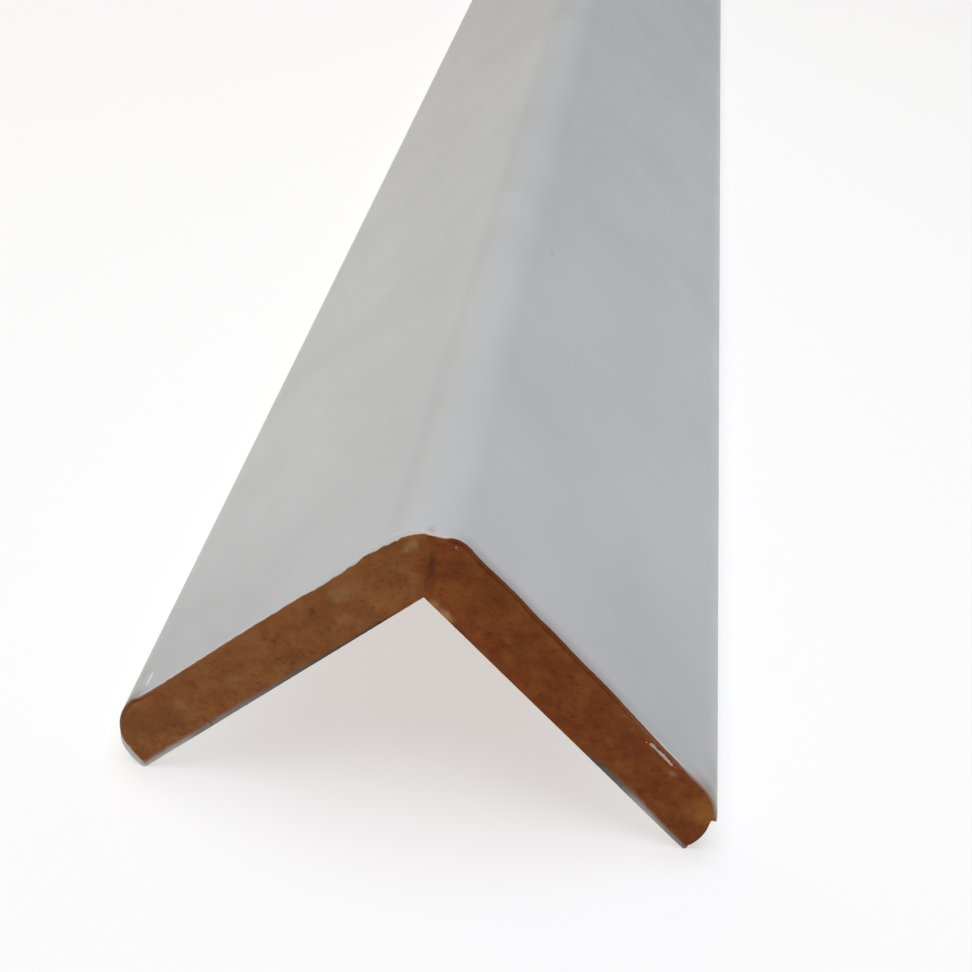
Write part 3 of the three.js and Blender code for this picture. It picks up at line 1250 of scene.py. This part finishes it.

# %% [markdown]
# The saw dragged material over the cut, both ways. On the left leg the white of the film reaches down to
# the board, and over the arris in places. Past the corner and down the right leg, brown dust was pressed
# into the film's cut, so the brown runs out to the film's face. And along the lower edge of both legs
# the colour is painted darker, as painted shade: near black by the corner and grey towards the tips. All
# three cross from the film's rim to the board, so one group gives them to both materials.

# %% Film white and grime at the cut
WHITE_REACH = [  # signed place along the legs, and how deep the white comes below the face, in millimetres
    (-43, 0.0),
    (-35.6, 0.0),
    (-34.2, 0.05),
    (-31, 0.14),
    (-24, 0.17),
    (-18, 0.23),
    (-14, 0.34),
    (-10.5, 0.5),
    (-7.4, 0.4),
    (-5, 0.6),
    (-1.5, 0.24),
    (2.3, 0.26),
    (3.3, 0.0),
    (24, 0.0),
    (27, 0.05),
    (30, 0.12),
    (32.5, 0.1),
    (34.5, 0.0),
    (43, 0.0),
]
BOUNDARY_SOFTNESS = [  # the same, for how far the white blurs into the brown
    (-43, 0.18),
    (-39, 0.15),
    (-37, 0.06),
    (-35, 0.3),
    (-33, 0.1),
    (-31, 0.06),
    (30, 0.08),
    (33.5, 0.4),
    (36.8, 0.44),
    (38.5, 0.1),
    (43, 0.06),
]
LOWER_SHADE_REACH = [  # the same, for the painted shade above the lower edge
    (-43, 0.66),
    (-38, 0.6),
    (-31, 0.6),
    (-22, 0.5),
    (-12, 0.28),
    (-7.6, 0.0),
    (8.6, 0.0),
    (9.8, 0.14),
    (11.2, 0.0),
    (24.5, 0.0),
    (27.5, 0.62),
    (31, 0.82),
    (34, 0.66),
    (38, 0.55),
    (43, 0.5),
]
LOWER_SHADE_TONE = [  # 0 is near black and 1 is the film's own white
    (-43, 0.72),
    (-38, 0.66),
    (-34, 0.52),
    (-31.2, 0.28),
    (-30.4, 0.36),
    (-22, 0.2),
    (-12, 0.08),
    (-8, 0.08),
    (11, 0.05),
    (26, 0.1),
    (29, 0.17),
    (31.5, 0.27),
    (34, 0.55),
    (37, 0.4),
    (43, 0.2),
]
LEFT_LOWER_WHITE = 0.5
LEFT_LOWER_SHADE = 0.6
LOWER_DEPTHS = (1.9, 3.8)  # millimetres below the face, where the lower part of the left tip begins
BROWN_EDGE = (-0.7, 1.0)  # shares of the boundary's softness
LOWER_SHADE_WANDER = 0.5
LOWER_SHADE_EDGE = (0.1, 1.1)  # shares of the painted shade's reach
SMALLEST_REACH = (0.0, 0.2)  # painted shade that reaches less than this fades out
CUT_MARKS_REACH = (0.8, 2.0)  # millimetres from the sawn end
# Painted highlight: a cream line on the film's rim, next to where the brown begins.
RIM_HIGHLIGHT_EDGE = (-0.16, -0.04)  # millimetres above the white's lower border
RIM_HIGHLIGHT_END = (29.0, 32.0)  # signed place along the legs
LEAST_DIVISOR = 0.01  # keeps a reach of 0 from dividing


def cut_group():
    """At the sawn end, where brown shows on the film, white on the board, a painted highlight on the film's
    rim, and painted shade along the lower edge on both.
    """
    outputs = {label: "Float" for label in ("Brown", "White", "Rim Highlight", "Lower Shade", "Lower Shade Tone")}
    inputs = {"Position": ("Vector", None)}
    group, given, output_node = new_group("cut edge", "ShaderNodeTree", inputs, outputs)
    leg = leg_fields(group, given["Position"])
    along = leg["Signed Along"]
    wave = noise_field(group, leg["Leg Vector"], scale=0.8, detail=3.0, roughness=0.6)
    white = maths(group, "MULTIPLY", along_curve(group, along, WHITE_REACH), maths(group, "ADD", wave, 0.5))
    on_left = maths(group, "LESS_THAN", leg["Side"], 0.0)
    low = maths(group, "MULTIPLY", ramp(group, leg["Deep"], *LOWER_DEPTHS), on_left)
    white = maths(group, "MULTIPLY_ADD", low, LEFT_LOWER_WHITE, white)
    past_white = maths(group, "SUBTRACT", leg["Skin Depth"], white)
    softness = along_curve(group, along, BOUNDARY_SOFTNESS)
    brown = ramp(group, maths(group, "DIVIDE", past_white, softness), *BROWN_EDGE)
    clean = maths(group, "SUBTRACT", 1.0, brown)

    # Painted shade along the lower edge of both legs, darkest by the corner.
    from_back = maths(group, "SUBTRACT", LEG_THICKNESS / MM, leg["Deep"])
    from_back = maths(group, "MULTIPLY_ADD", maths(group, "SUBTRACT", wave, 0.5), LOWER_SHADE_WANDER, from_back)
    reach = along_curve(group, along, LOWER_SHADE_REACH)
    share = maths(group, "DIVIDE", from_back, maths(group, "ADD", reach, LEAST_DIVISOR))
    lower_shade = ramp(group, share, *LOWER_SHADE_EDGE, 1.0, 0.0)
    lower_shade = maths(group, "MULTIPLY", lower_shade, ramp(group, reach, *SMALLEST_REACH))
    left_tip_shade = maths(group, "MULTIPLY", maths(group, "MULTIPLY", low, LEFT_LOWER_SHADE), clean)
    at_saw = ramp(group, leg["From Sawn End"], *CUT_MARKS_REACH, 1.0, 0.0)
    rim_highlight = maths(group, "MULTIPLY", ramp(group, past_white, *RIM_HIGHLIGHT_EDGE), clean)
    values = {
        "Brown": maths(group, "MULTIPLY", brown, at_saw),
        "White": maths(group, "MULTIPLY", clean, at_saw),
        "Rim Highlight": maths(group, "MULTIPLY", rim_highlight, ramp(group, along, *RIM_HIGHLIGHT_END, 1.0, 0.0)),
        "Lower Shade": maths(group, "MULTIPLY", maths(group, "MAXIMUM", lower_shade, left_tip_shade), at_saw),
        "Lower Shade Tone": along_curve(group, along, LOWER_SHADE_TONE),
    }
    set_inputs(group, output_node, values)
    return group


CUT_GROUP = cut_group()

# %% [markdown]
# The marks on the sawn face are few, and each has its place: pale patches where the fibre is lighter,
# darker ones near the mitre, a tan patch beside the inner corner where glue ran, an ochre tint at the right
# tip, and painted shade along the lower inner edge near the corner. They are written as along, deep, reach
# along, reach deep, colour and strength.

# %% Marks on the sawn faces
PALE = paint(176, 142, 100)
TAN = paint(206, 160, 112)
OCHRE = paint(172, 116, 52)
DEEP_RED = paint(104, 50, 28)
# Painted shade along the lower inner edge near the corner.
EDGE_SHADE_BLACK = paint(52, 32, 22)

left_marks = [
    (11.4, 2.0, 1.7, 1.2, PALE, 0.26),
    (12.9, 4.1, 1.2, 0.8, PALE, 0.2),
    (3.5, 1.7, 1.1, 0.6, PALE, 0.45),
    (31.4, 2.7, 0.8, 1.0, PALE, 0.25),
    (25.5, 3.4, 1.4, 1.0, PALE, 0.12),
    (19.0, 4.4, 3.2, 1.0, DEEP_RED, 0.25),
    (34.5, 3.6, 3.0, 1.6, DEEP_RED, 0.15),
    # painted shade along the lower inner edge
    (11.0, 6.05, 4.2, 0.36, EDGE_SHADE_BLACK, 0.7),
    (22.0, 6.1, 8.0, 0.22, EDGE_SHADE_BLACK, 0.2),
]
right_marks = [
    (5.3, 1.9, 1.5, 1.2, DEEP_RED, 0.4),
    (9.0, 1.2, 2.6, 1.2, DEEP_RED, 0.3),
    (8.4, 5.8, 1.2, 0.7, TAN, 0.5),
    (7.0, 5.8, 0.8, 0.5, TAN, 0.35),
    # painted shade along the lower inner edge
    (10.1, 6.1, 1.3, 0.2, EDGE_SHADE_BLACK, 0.5),
    (13.2, 3.4, 0.7, 0.5, PALE, 0.15),
    (27.5, 2.4, 3.4, 1.4, DEEP_RED, 0.25),
    (31.94, 1.34, 0.7, 0.55, PALE, 0.4),
    (37.2, 1.8, 2.9, 2.0, OCHRE, 0.5),
]

MARK_SOFTNESS = 0.85
MARK_WAVINESS = 0.9  # share of the mark's reach
MARK_SCALES = (0.7, 0.1)  # of the first mark's border, and what each next one adds
MARK_REACH_BACK = 1.5  # millimetres from the sawn end


def with_marks(tree, colour, vector, side, marks):
    """The colour with a list of marks laid over it."""
    end = -HALF_LENGTH / MM
    first_scale, next_scale = MARK_SCALES
    for number, (along, deep, reach_along, reach_deep, mark_colour, strength) in enumerate(marks):
        centre = (side * along, deep, end)
        reach = (reach_along, reach_deep, MARK_REACH_BACK)
        waves = {"waviness": MARK_WAVINESS * reach_deep, "wave_scale": first_scale + next_scale * number}
        mask = spot(tree, vector, centre, reach, softness=MARK_SOFTNESS, **waves)
        colour = lay_over(tree, colour, mark_colour, mask, strength)
    return colour


# %% [markdown]
# Each strip has its own colours and its own stretch of the noise, so that the two don't repeat each other.
# The film's rim needs both strips' brown, left and right, because the dust in it came from the board beside
# it.

# %% Colours of the two strips
left_strip = {
    "Dark": paint(124, 74, 35),
    "Light": paint(154, 100, 54),
    "Blush": paint(140, 72, 34),
    "Scorch": paint(110, 64, 36),
    "Back": paint(126, 88, 60),
    "Seed": (3.1, 8.4, 0.0),
}
right_strip = {
    "Dark": paint(112, 54, 20),
    "Light": paint(144, 82, 36),
    "Blush": paint(118, 50, 20),
    "Scorch": paint(88, 46, 24),
    "Back": paint(118, 78, 52),
    "Seed": (41.7, 2.2, 0.0),
}
# The film's own white at the cut, painted brighter than the face's white as painted light, for the lesser
# light on the cut.
CUT_WHITE_PAINTED_BRIGHT = paint(225, 224, 222)
RIM_HIGHLIGHT_CREAM = paint(244, 232, 218)
LOWER_SHADE_BLACK = paint(46, 34, 26)
LOWER_SHADE_GREY = paint(224, 217, 208)
GLUE_BROWN = paint(66, 38, 24)
SOAKED_BROWN = paint(132, 72, 34)
GLUE_PLACE = (0.46, -HALF_LENGTH / MM, 27.1)
GLUE_REACH = (0.55, 2.5, 2.6)
SOAKED_PLACE = (0.0, -HALF_LENGTH / MM, 26.0)
SOAKED_REACH = (1.0, 2.5, 6.5)
GLUE_STRENGTH = 0.6
SOAKED_STRENGTH = 0.9


def with_glue(tree, colour, millimetres, side):
    """The colour with the mitre's glue: a dark line on the right strip, and a reddened edge on the left."""
    if side == RIGHT:
        line = spot(tree, millimetres, GLUE_PLACE, GLUE_REACH, softness=0.9, waviness=0.25, wave_scale=1.6)
        return lay_over(tree, colour, GLUE_BROWN, line, GLUE_STRENGTH)
    soaked = spot(tree, millimetres, SOAKED_PLACE, SOAKED_REACH, softness=0.95)
    return lay_over(tree, colour, SOAKED_BROWN, soaked, SOAKED_STRENGTH)


def brown_board(tree, leg, strips):
    """Sawn fibreboard with its marks: one strip, or the two on either side of the corner."""
    position = object_position(tree)
    finished = []
    for side, strip, marks in strips:
        board = use_group(tree, FIBREBOARD_GROUP, {"Position": position, **strip})
        colour = with_marks(tree, board["Color"], leg["Leg Vector"], side, marks)
        finished.append((with_glue(tree, colour, leg["Millimetres"], side), board))
    if len(finished) == 1:
        return finished[0]
    on_right = maths(tree, "GREATER_THAN", leg["Side"], 0.0)
    return mix_colour(tree, on_right, finished[0][0], finished[1][0]), finished[1][1]


def with_lower_shade(tree, colour, cut):
    """The colour under the painted shade of the lower edge."""
    # Painted shade: near black by the corner, grey towards the tips.
    lower_shade = mix_colour(tree, cut["Lower Shade Tone"], LOWER_SHADE_BLACK, LOWER_SHADE_GREY)
    return mix_colour(tree, cut["Lower Shade"], colour, lower_shade)


# %% [markdown]
# The glue line belongs to the right strip, because the dark glue soaked into its side of the mitre. It is a
# tall narrow spot in plain X and Z, since the mitre stands upright. On the left the same glue only reddened
# the board, so the step of tint between the strips is soft.

# %% Board materials
STRIPS = [(LEFT, left_strip, left_marks), (RIGHT, right_strip, right_marks)]
for material, strip in zip((left_board_material, right_board_material), STRIPS):
    tree, shader, leg = start_material(material)
    cut = use_group(tree, CUT_GROUP, {"Position": object_position(tree)})
    colour, board = brown_board(tree, leg, [strip])
    # Where the film's white reaches the board it is painted brighter, as painted light.
    colour = with_lower_shade(tree, mix_colour(tree, cut["White"], colour, CUT_WHITE_PAINTED_BRIGHT), cut)
    finish = {"Base Color": colour, "Roughness": board["Roughness"], "Specular IOR Level": 0.18}
    finish["Normal"] = bump(tree, board["Height"], strength=0.55, distance=0.03)
    set_inputs(tree, shader, finish)
    print(material.name, "has", len(tree.nodes), "nodes")

# %% [markdown]
# ### Satin white film
# The film is a pigmented plastic foil over pressed board, so its face is a soft white with a satin gloss,
# and it carries a faint orange peel from the board below. Real film is never one flat white: it has clouds
# of tone a centimetre or two across and sparse dust specks. Towards the sawn tips the film is painted
# greyer, as painted shade. Close to the cut, brown dust clings to it on the right leg and at both tips, and
# a cream line along the cut near the corner is a painted highlight. Resin seeped out at the mitre and left
# a faint orange stain there.

# %% Film face
FILM_WHITE = paint(211, 211, 210)
FILM_SHADE = paint(205, 205, 204)
# Painted shade: the grey that the film is painted towards the sawn tips.
NEAR_END_SHADE_GREY = paint(174, 174, 174)
# Painted shade: the grey of soft spots on the film beside both tips.
TIP_SHADE_GREY = paint(166, 168, 162)
# Painted highlight: a cream line on the film's face along its cut, near the corner.
CUT_HIGHLIGHT_CREAM = paint(238, 234, 226)
BROWN_DUST = paint(140, 112, 94)
DUST = paint(110, 106, 100)
RESIN = paint(186, 140, 98)
CUT_HIGHLIGHT_SHARE = [(-43, 0.0), (-16, 0.0), (-8, 0.1), (-4, 0.2), (3.4, 0.2), (5, 0.0), (43, 0.0)]
DUST_SHARE = [  # signed place along the legs, and how brown the film is beside its cut
    (-43, 0.5),
    (-36, 0.75),
    (-34.2, 0.6),
    (-32.6, 0.12),
    (-28, 0.0),
    (2.0, 0.0),
    (4.4, 0.28),
    (8.0, 0.42),
    (23, 0.36),
    (27, 0.1),
    (31, 0.1),
    (34, 0.45),
    (37, 0.8),
    (43, 0.8),
]

# %% The film's colour, with age and painted shade
NEAR_END_SHADE_ALONG = (5.0, 34.0)  # millimetres along the leg, over which the painted shade grows
NEAR_END_SHADE_REACH = (0.0, 26.0)  # millimetres from the sawn end, over which it fades
NEAR_END_SHADE_STRENGTH = 0.42
CUT_DUST_AND_HIGHLIGHT_REACH = (2.0, 4.0)  # millimetres from the sawn end, where dust and the painted highlight have faded out
CUT_HIGHLIGHT_REACH = (0.02, 0.3)  # millimetres from the film's own cut
DUST_REACH = (0.0, 1.6)
TIP_SHADES = [  # signed along, Y, reach along, reach in Y and strength
    (-35.2, -127.4, 1.7, 4.2, 0.5),
    (36.2, -127.8, 2.2, 3.2, 0.45),
]
FILM_SPECKS = [  # signed along, Y, reach and strength
    (6.15, -75.65, 0.16, 0.9),
    (-25.95, -65.3, 0.14, 0.35),
    (-30.9, -57.2, 0.14, 0.35),
]
RESIN_PLACE = (0.25, -HALF_LENGTH / MM + 0.3, SHARP_CORNER_HEIGHT / MM - 2.1)
RESIN_REACH = (0.5, 0.75, 1.5)
RESIN_STRENGTH = 0.4
SPECK_STRENGTH = 0.5
TIP_SHADE_DEPTH = 2.5
SPECK_DEPTH = 0.5


def film_with_age_and_shade(tree, leg):
    """The film's colour, with clouds, painted shade towards the tips, dust, specks and the resin stain."""
    sheet = leg["Leg Vector"]
    clouds = noise_field(tree, sheet, scale=0.06, detail=3.0)
    colour = mix_colour(tree, stretched(tree, clouds), FILM_SHADE, FILM_WHITE)
    # Painted shade: the film turns greyer towards the sawn tips.
    shade_towards_tips = ramp(tree, leg["Along"], *NEAR_END_SHADE_ALONG, 0.0, NEAR_END_SHADE_STRENGTH)
    near_end = ramp(tree, leg["From Sawn End"], *NEAR_END_SHADE_REACH, 1.0, 0.0)
    colour = lay_over(tree, colour, NEAR_END_SHADE_GREY, near_end, shade_towards_tips)
    # Painted shade beside both tips.
    for along, y, reach_along, reach_y, strength in TIP_SHADES:
        shade = spot(tree, sheet, (along, 0.0, y), (reach_along, TIP_SHADE_DEPTH, reach_y), softness=0.9)
        colour = lay_over(tree, colour, TIP_SHADE_GREY, shade, strength)
    from_cut = add(tree, "ShaderNodeAttribute", attribute_name="from_cut").outputs["Fac"]
    at_saw = ramp(tree, leg["From Sawn End"], *CUT_DUST_AND_HIGHLIGHT_REACH, 1.0, 0.0)
    # A painted highlight and real brown dust, both close to the film's cut.
    for over, reach, shares in ((CUT_HIGHLIGHT_CREAM, CUT_HIGHLIGHT_REACH, CUT_HIGHLIGHT_SHARE), (BROWN_DUST, DUST_REACH, DUST_SHARE)):
        near_cut = maths(tree, "MULTIPLY", ramp(tree, from_cut, *reach, 1.0, 0.0), at_saw)
        colour = lay_over(tree, colour, over, near_cut, along_curve(tree, leg["Signed Along"], shares))
    specks = use_group(tree, SPECK_GROUP, {"Vector": sheet, "Scale": 0.12, "Share": 0.16, "Size": 0.014})
    colour = lay_over(tree, colour, DUST, specks["Mask"], SPECK_STRENGTH)
    for along, y, reach, strength in FILM_SPECKS:
        mark = spot(tree, sheet, (along, 0.0, y), (reach, SPECK_DEPTH, reach), softness=0.5, waviness=0.05)
        colour = lay_over(tree, colour, DUST, mark, strength)
    stain = spot(tree, leg["Millimetres"], RESIN_PLACE, RESIN_REACH, softness=0.9, wave_scale=2.0)
    return lay_over(tree, colour, RESIN, stain, RESIN_STRENGTH)


SAG_STRETCH = (1.0, 1.0, 0.2)
SAG_HEIGHT = 2.4  # times that of the fine waves


def orange_peel(tree, sheet):
    """The height of the film's faint waves: fine ones, and longer ones along the moulding."""
    peel = noise_field(tree, sheet, scale=1.1, detail=2.0)
    lengthwise = vector_maths(tree, "MULTIPLY", sheet, SAG_STRETCH)
    sag = noise_field(tree, lengthwise, scale=0.16, detail=1.0)
    return maths(tree, "MULTIPLY_ADD", sag, SAG_HEIGHT, peel)


# %% Finish of the film's face
GLOSS_LEVELS = (0.25, 0.75)
ROUGHNESSES = (0.34, 0.44)
tree, shader, leg = start_material(film_material)
gloss = noise_field(tree, leg["Leg Vector"], scale=0.35, detail=4.0, roughness=0.6)
film_finish = {
    "Base Color": film_with_age_and_shade(tree, leg),
    "Roughness": ramp(tree, gloss, *GLOSS_LEVELS, *ROUGHNESSES),
    "Specular IOR Level": 0.5,
    "Normal": bump(tree, orange_peel(tree, leg["Leg Vector"]), strength=0.25, distance=0.02),
}
set_inputs(tree, shader, film_finish)
print(film_material.name, "has", len(tree.nodes), "nodes")

# %% [markdown]
# The rim is where the saw went through the film. It takes the board's own brown where dust was pressed into
# it, is scorched for a stretch of the right leg, and stays white where it is clean, with a painted highlight
# in a cream line next to the brown. Towards the step down to the board the brown is painted lighter, as
# painted light against the shade that falls in the step.

# %% Film's cut edge
BURNT_LINE = paint(84, 62, 50)
STEP_LIGHTENING = paint(172, 104, 58)
BURNT_SHARE = [(-43, 0.0), (20, 0.0), (24, 0.4), (30, 0.55), (33, 0.0), (43, 0.0)]
BURNT_DEPTHS = (0.1, 0.45)  # millimetres below the film's face
STEP_DEPTHS = (0.1, 0.4)
STEP_LIGHTENING_STRENGTH = 0.5
RIM_HIGHLIGHT_STRENGTH = 0.55
tree, shader, leg = start_material(film_edge_material)
cut = use_group(tree, CUT_GROUP, {"Position": object_position(tree)})
brown, board = brown_board(tree, leg, STRIPS)
burnt = ramp(tree, leg["Skin Depth"], *BURNT_DEPTHS, 1.0, 0.0)
brown = lay_over(tree, brown, BURNT_LINE, burnt, along_curve(tree, leg["Signed Along"], BURNT_SHARE))
# Painted light: the rim's brown is lightened towards the step down to the board, against the shade there.
step_lightening = ramp(tree, leg["Skin Depth"], *STEP_DEPTHS, 0.0, STEP_LIGHTENING_STRENGTH)
brown = mix_colour(tree, step_lightening, brown, STEP_LIGHTENING)
# Painted highlight: the rim's cream line.
clean = lay_over(tree, CUT_WHITE_PAINTED_BRIGHT, RIM_HIGHLIGHT_CREAM, cut["Rim Highlight"], RIM_HIGHLIGHT_STRENGTH)
wisps = noise_field(tree, leg["Leg Vector"], scale=0.9, detail=4.0, roughness=0.65)
edge_finish = {
    "Base Color": with_lower_shade(tree, mix_colour(tree, cut["Brown"], clean, brown), cut),
    "Roughness": stretched(tree, wisps, 0.6, 0.85),
    "Specular IOR Level": 0.3,
    "Normal": bump(tree, board["Height"], strength=0.4, distance=0.03),
}
set_inputs(tree, shader, edge_finish)
print(film_edge_material.name, "has", len(tree.nodes), "nodes")

# %% [markdown]
# Torn film has been stretched, so it is duller than the face. The flake and the crumbs took up a little of
# the board's colour. An attribute on their points, in_shade, paints shade on the flake's lower half, where
# it lies against the board, and gives the crumbs a half tint. The pinched crease is whiter than the film
# around it: partly stress-whitened film, partly a painted highlight.

# %% Torn film finishes, and materials on their pieces
SHADED_FILM = paint(138, 116, 104)
SHADE_LEVELS = (0.3, 0.9)
SHADE_STRENGTH = 0.85


def torn_finish(name, low, high):
    """A frosted film, between two tones, painted a shaded brown where the attribute in_shade is high."""
    material = bpy.data.materials.new(name)
    tree, shader, leg = start_material(material)
    frost = noise_field(tree, leg["Leg Vector"], scale=6.0, detail=3.0)
    shaded = add(tree, "ShaderNodeAttribute", attribute_name="in_shade").outputs["Fac"]
    shaded = ramp(tree, shaded, *SHADE_LEVELS, 0.0, SHADE_STRENGTH)
    colour = mix_colour(tree, shaded, mix_colour(tree, frost, low, high), SHADED_FILM)
    set_inputs(tree, shader, {"Base Color": colour, "Roughness": stretched(tree, frost, 0.45, 0.7)})
    return material


torn_material = torn_finish("torn_white_film", paint(182, 158, 146), paint(222, 204, 194))
# The crease is whiter than the film: partly stress-whitened film, partly a painted highlight.
crease_whitened_highlit_material = torn_finish("creased_film_whitened_and_highlit", paint(224, 224, 222), paint(242, 242, 240))
for piece, material in (
    (left_board, left_board_material),
    (right_board, right_board_material),
    (torn_flake, torn_material),
    (film_crumbs, torn_material),
    (film_crease, crease_whitened_highlit_material),
):
    piece.data.materials.append(material)

# %% [markdown]
# ## Floor, light and camera
# The photograph shows the moulding against plain white. A pale matt floor and a white room give the same.
# The floor glows a little, as a light table does, so that the shadow under the legs stays pale. The lights
# reach only the floor round the moulding, so farther out its glow turns lighter, and it meets the backdrop
# without a line. One broad, slightly cool light hangs over the sawn end, so the film brightens towards it.
# A small warm one behind on the left warms the left face against the right, and a weak one in front opens
# up the sawn end.

# %% Floor and room
FLOOR_SIZE = 30.0  # metres
LIT_FLOOR_RADIUS = 250.0  # millimetres
FAR_FLOOR_RADIUS = 1300.0
FLOOR_PAPER = paint(186, 185, 184)
FAR_GLOW = paint(222, 224, 226)
FLOOR_GLOW = 1.2
PAPER_TOOTH = 0.985  # how dark the paper's hollows are


def glowing_paper(name):
    """A matt paper with a faint tooth and a glow of its own, brighter where the lights don't reach."""
    material = bpy.data.materials.new(name)
    tree, shader, leg = start_material(material)
    tooth = noise_field(tree, leg["Millimetres"], scale=0.8, detail=2.0)
    hollow = (*(PAPER_TOOTH * part for part in FLOOR_PAPER[:3]), 1.0)
    far = ramp(tree, length_of(tree, leg["Millimetres"]), LIT_FLOOR_RADIUS, FAR_FLOOR_RADIUS)
    finish = {
        "Base Color": mix_colour(tree, tooth, hollow, FLOOR_PAPER),
        "Roughness": 0.9,
        "Specular IOR Level": 0.1,
        "Emission Color": mix_colour(tree, far, FLOOR_PAPER, FAR_GLOW),
        "Emission Strength": FLOOR_GLOW,
    }
    set_inputs(tree, shader, finish)
    return material


half = FLOOR_SIZE / 2
floor_corners = [(-half, -half, 0), (half, -half, 0), (half, half, 0), (-half, half, 0)]
floor_mesh = bpy.data.meshes.new("paper_floor")
floor_mesh.from_pydata(floor_corners, [], [(0, 1, 2, 3)])
floor_mesh.materials.append(glowing_paper("pale_paper"))
floor = new_object("paper_floor", floor_mesh)

ROOM_STRENGTH = 0.09
BACKDROP_STRENGTH = 0.9
ROOM_WHITE = (0.97, 0.98, 1.0, 1.0)
world = bpy.data.worlds.new("white_room")
world.use_nodes = True
tree = world.node_tree
background = tree.nodes["Background"]
background.inputs["Color"].default_value = ROOM_WHITE
seen = tree.nodes.new("ShaderNodeLightPath").outputs["Is Camera Ray"]
strength = maths(tree, "MULTIPLY_ADD", seen, BACKDROP_STRENGTH - ROOM_STRENGTH, ROOM_STRENGTH)
tree.links.new(strength, background.inputs["Strength"])
bpy.context.scene.world = world
bpy.context.scene.view_settings.view_transform = "Standard"


# %% Lights
def soft_light(name, place, target, size, watts, colour):
    """A square soft box that faces its target."""
    data = bpy.data.lights.new(name, "AREA")
    data.size = size
    data.energy = watts
    data.color = colour
    made = new_object(name, data)
    made.location = place
    made.rotation_euler = (Vector(target) - Vector(place)).to_track_quat("-Z", "Y").to_euler()


SAWN_END = (0.0, -0.1, 0.02)
BOX_SIZE = 0.6
soft_light("top", (0.0, -0.15, 0.72), SAWN_END, BOX_SIZE, 4.55, (0.86, 0.9, 0.985))
soft_light("warm_left", (-0.4, 0.35, 0.5), SAWN_END, BOX_SIZE, 0.6, (1.0, 0.74, 0.15))
soft_light("front", (0.05, -0.75, 0.25), SAWN_END, BOX_SIZE, 0.36, (1.0, 0.98, 0.95))

# %% [markdown]
# The camera stands where the photographer's phone was: about 107 mm from the sawn end, above it and a
# little to its right, looking down along the moulding, and rolled by a few degrees.

# %% Camera
SENSOR_WIDTH = 36.0
NEAREST_SEEN = 5 * MM
FARTHEST_SEEN = 20.0
CAMERA_LENS = 53.07
CAMERA_YAW = math.radians(4.84)
CAMERA_PITCH = math.radians(35.22)
CAMERA_ROLL = math.radians(5.04)
CAMERA_FROM_CORNER = Vector((11.29, -85.11, 63.15)) * MM
camera_data = bpy.data.cameras.new("photo_camera")
camera_data.sensor_width = SENSOR_WIDTH
camera_data.lens = CAMERA_LENS
camera_data.clip_start = NEAREST_SEEN
camera_data.clip_end = FARTHEST_SEEN
camera = new_object("photo_camera", camera_data)
turn = Matrix.Rotation(CAMERA_YAW, 4, "Z")
turn = turn @ Matrix.Rotation(math.pi / 2 - CAMERA_PITCH, 4, "X") @ Matrix.Rotation(CAMERA_ROLL, 4, "Z")
sharp_corner = Vector((0.0, -HALF_LENGTH, SHARP_CORNER_HEIGHT))
camera.matrix_world = Matrix.Translation(sharp_corner + CAMERA_FROM_CORNER) @ turn
bpy.context.scene.camera = camera
print("camera at", tuple(camera.location))

# %% [markdown]
# ## Hand the pieces over
# Each finished piece rides on the one body, and the three main ones stand for the three solids of the model.

# %% Bodies and replaced nodes
hand_over = [
    (film, "white_film", ["white_film_wrap"]),
    (left_board, "olive_brown_board", ["left_board_strip"]),
    (right_board, "red_brown_board", ["right_board_strip"]),
    (left_fibres, "olive_brown_board", []),
    (right_fibres, "red_brown_board", []),
    (torn_flake, "white_film", []),
    (film_crumbs, "white_film", []),
    (film_crease, "white_film", []),
]
for piece, slot, nodes in hand_over:
    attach(piece, "root")
    if nodes:
        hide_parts(*nodes)
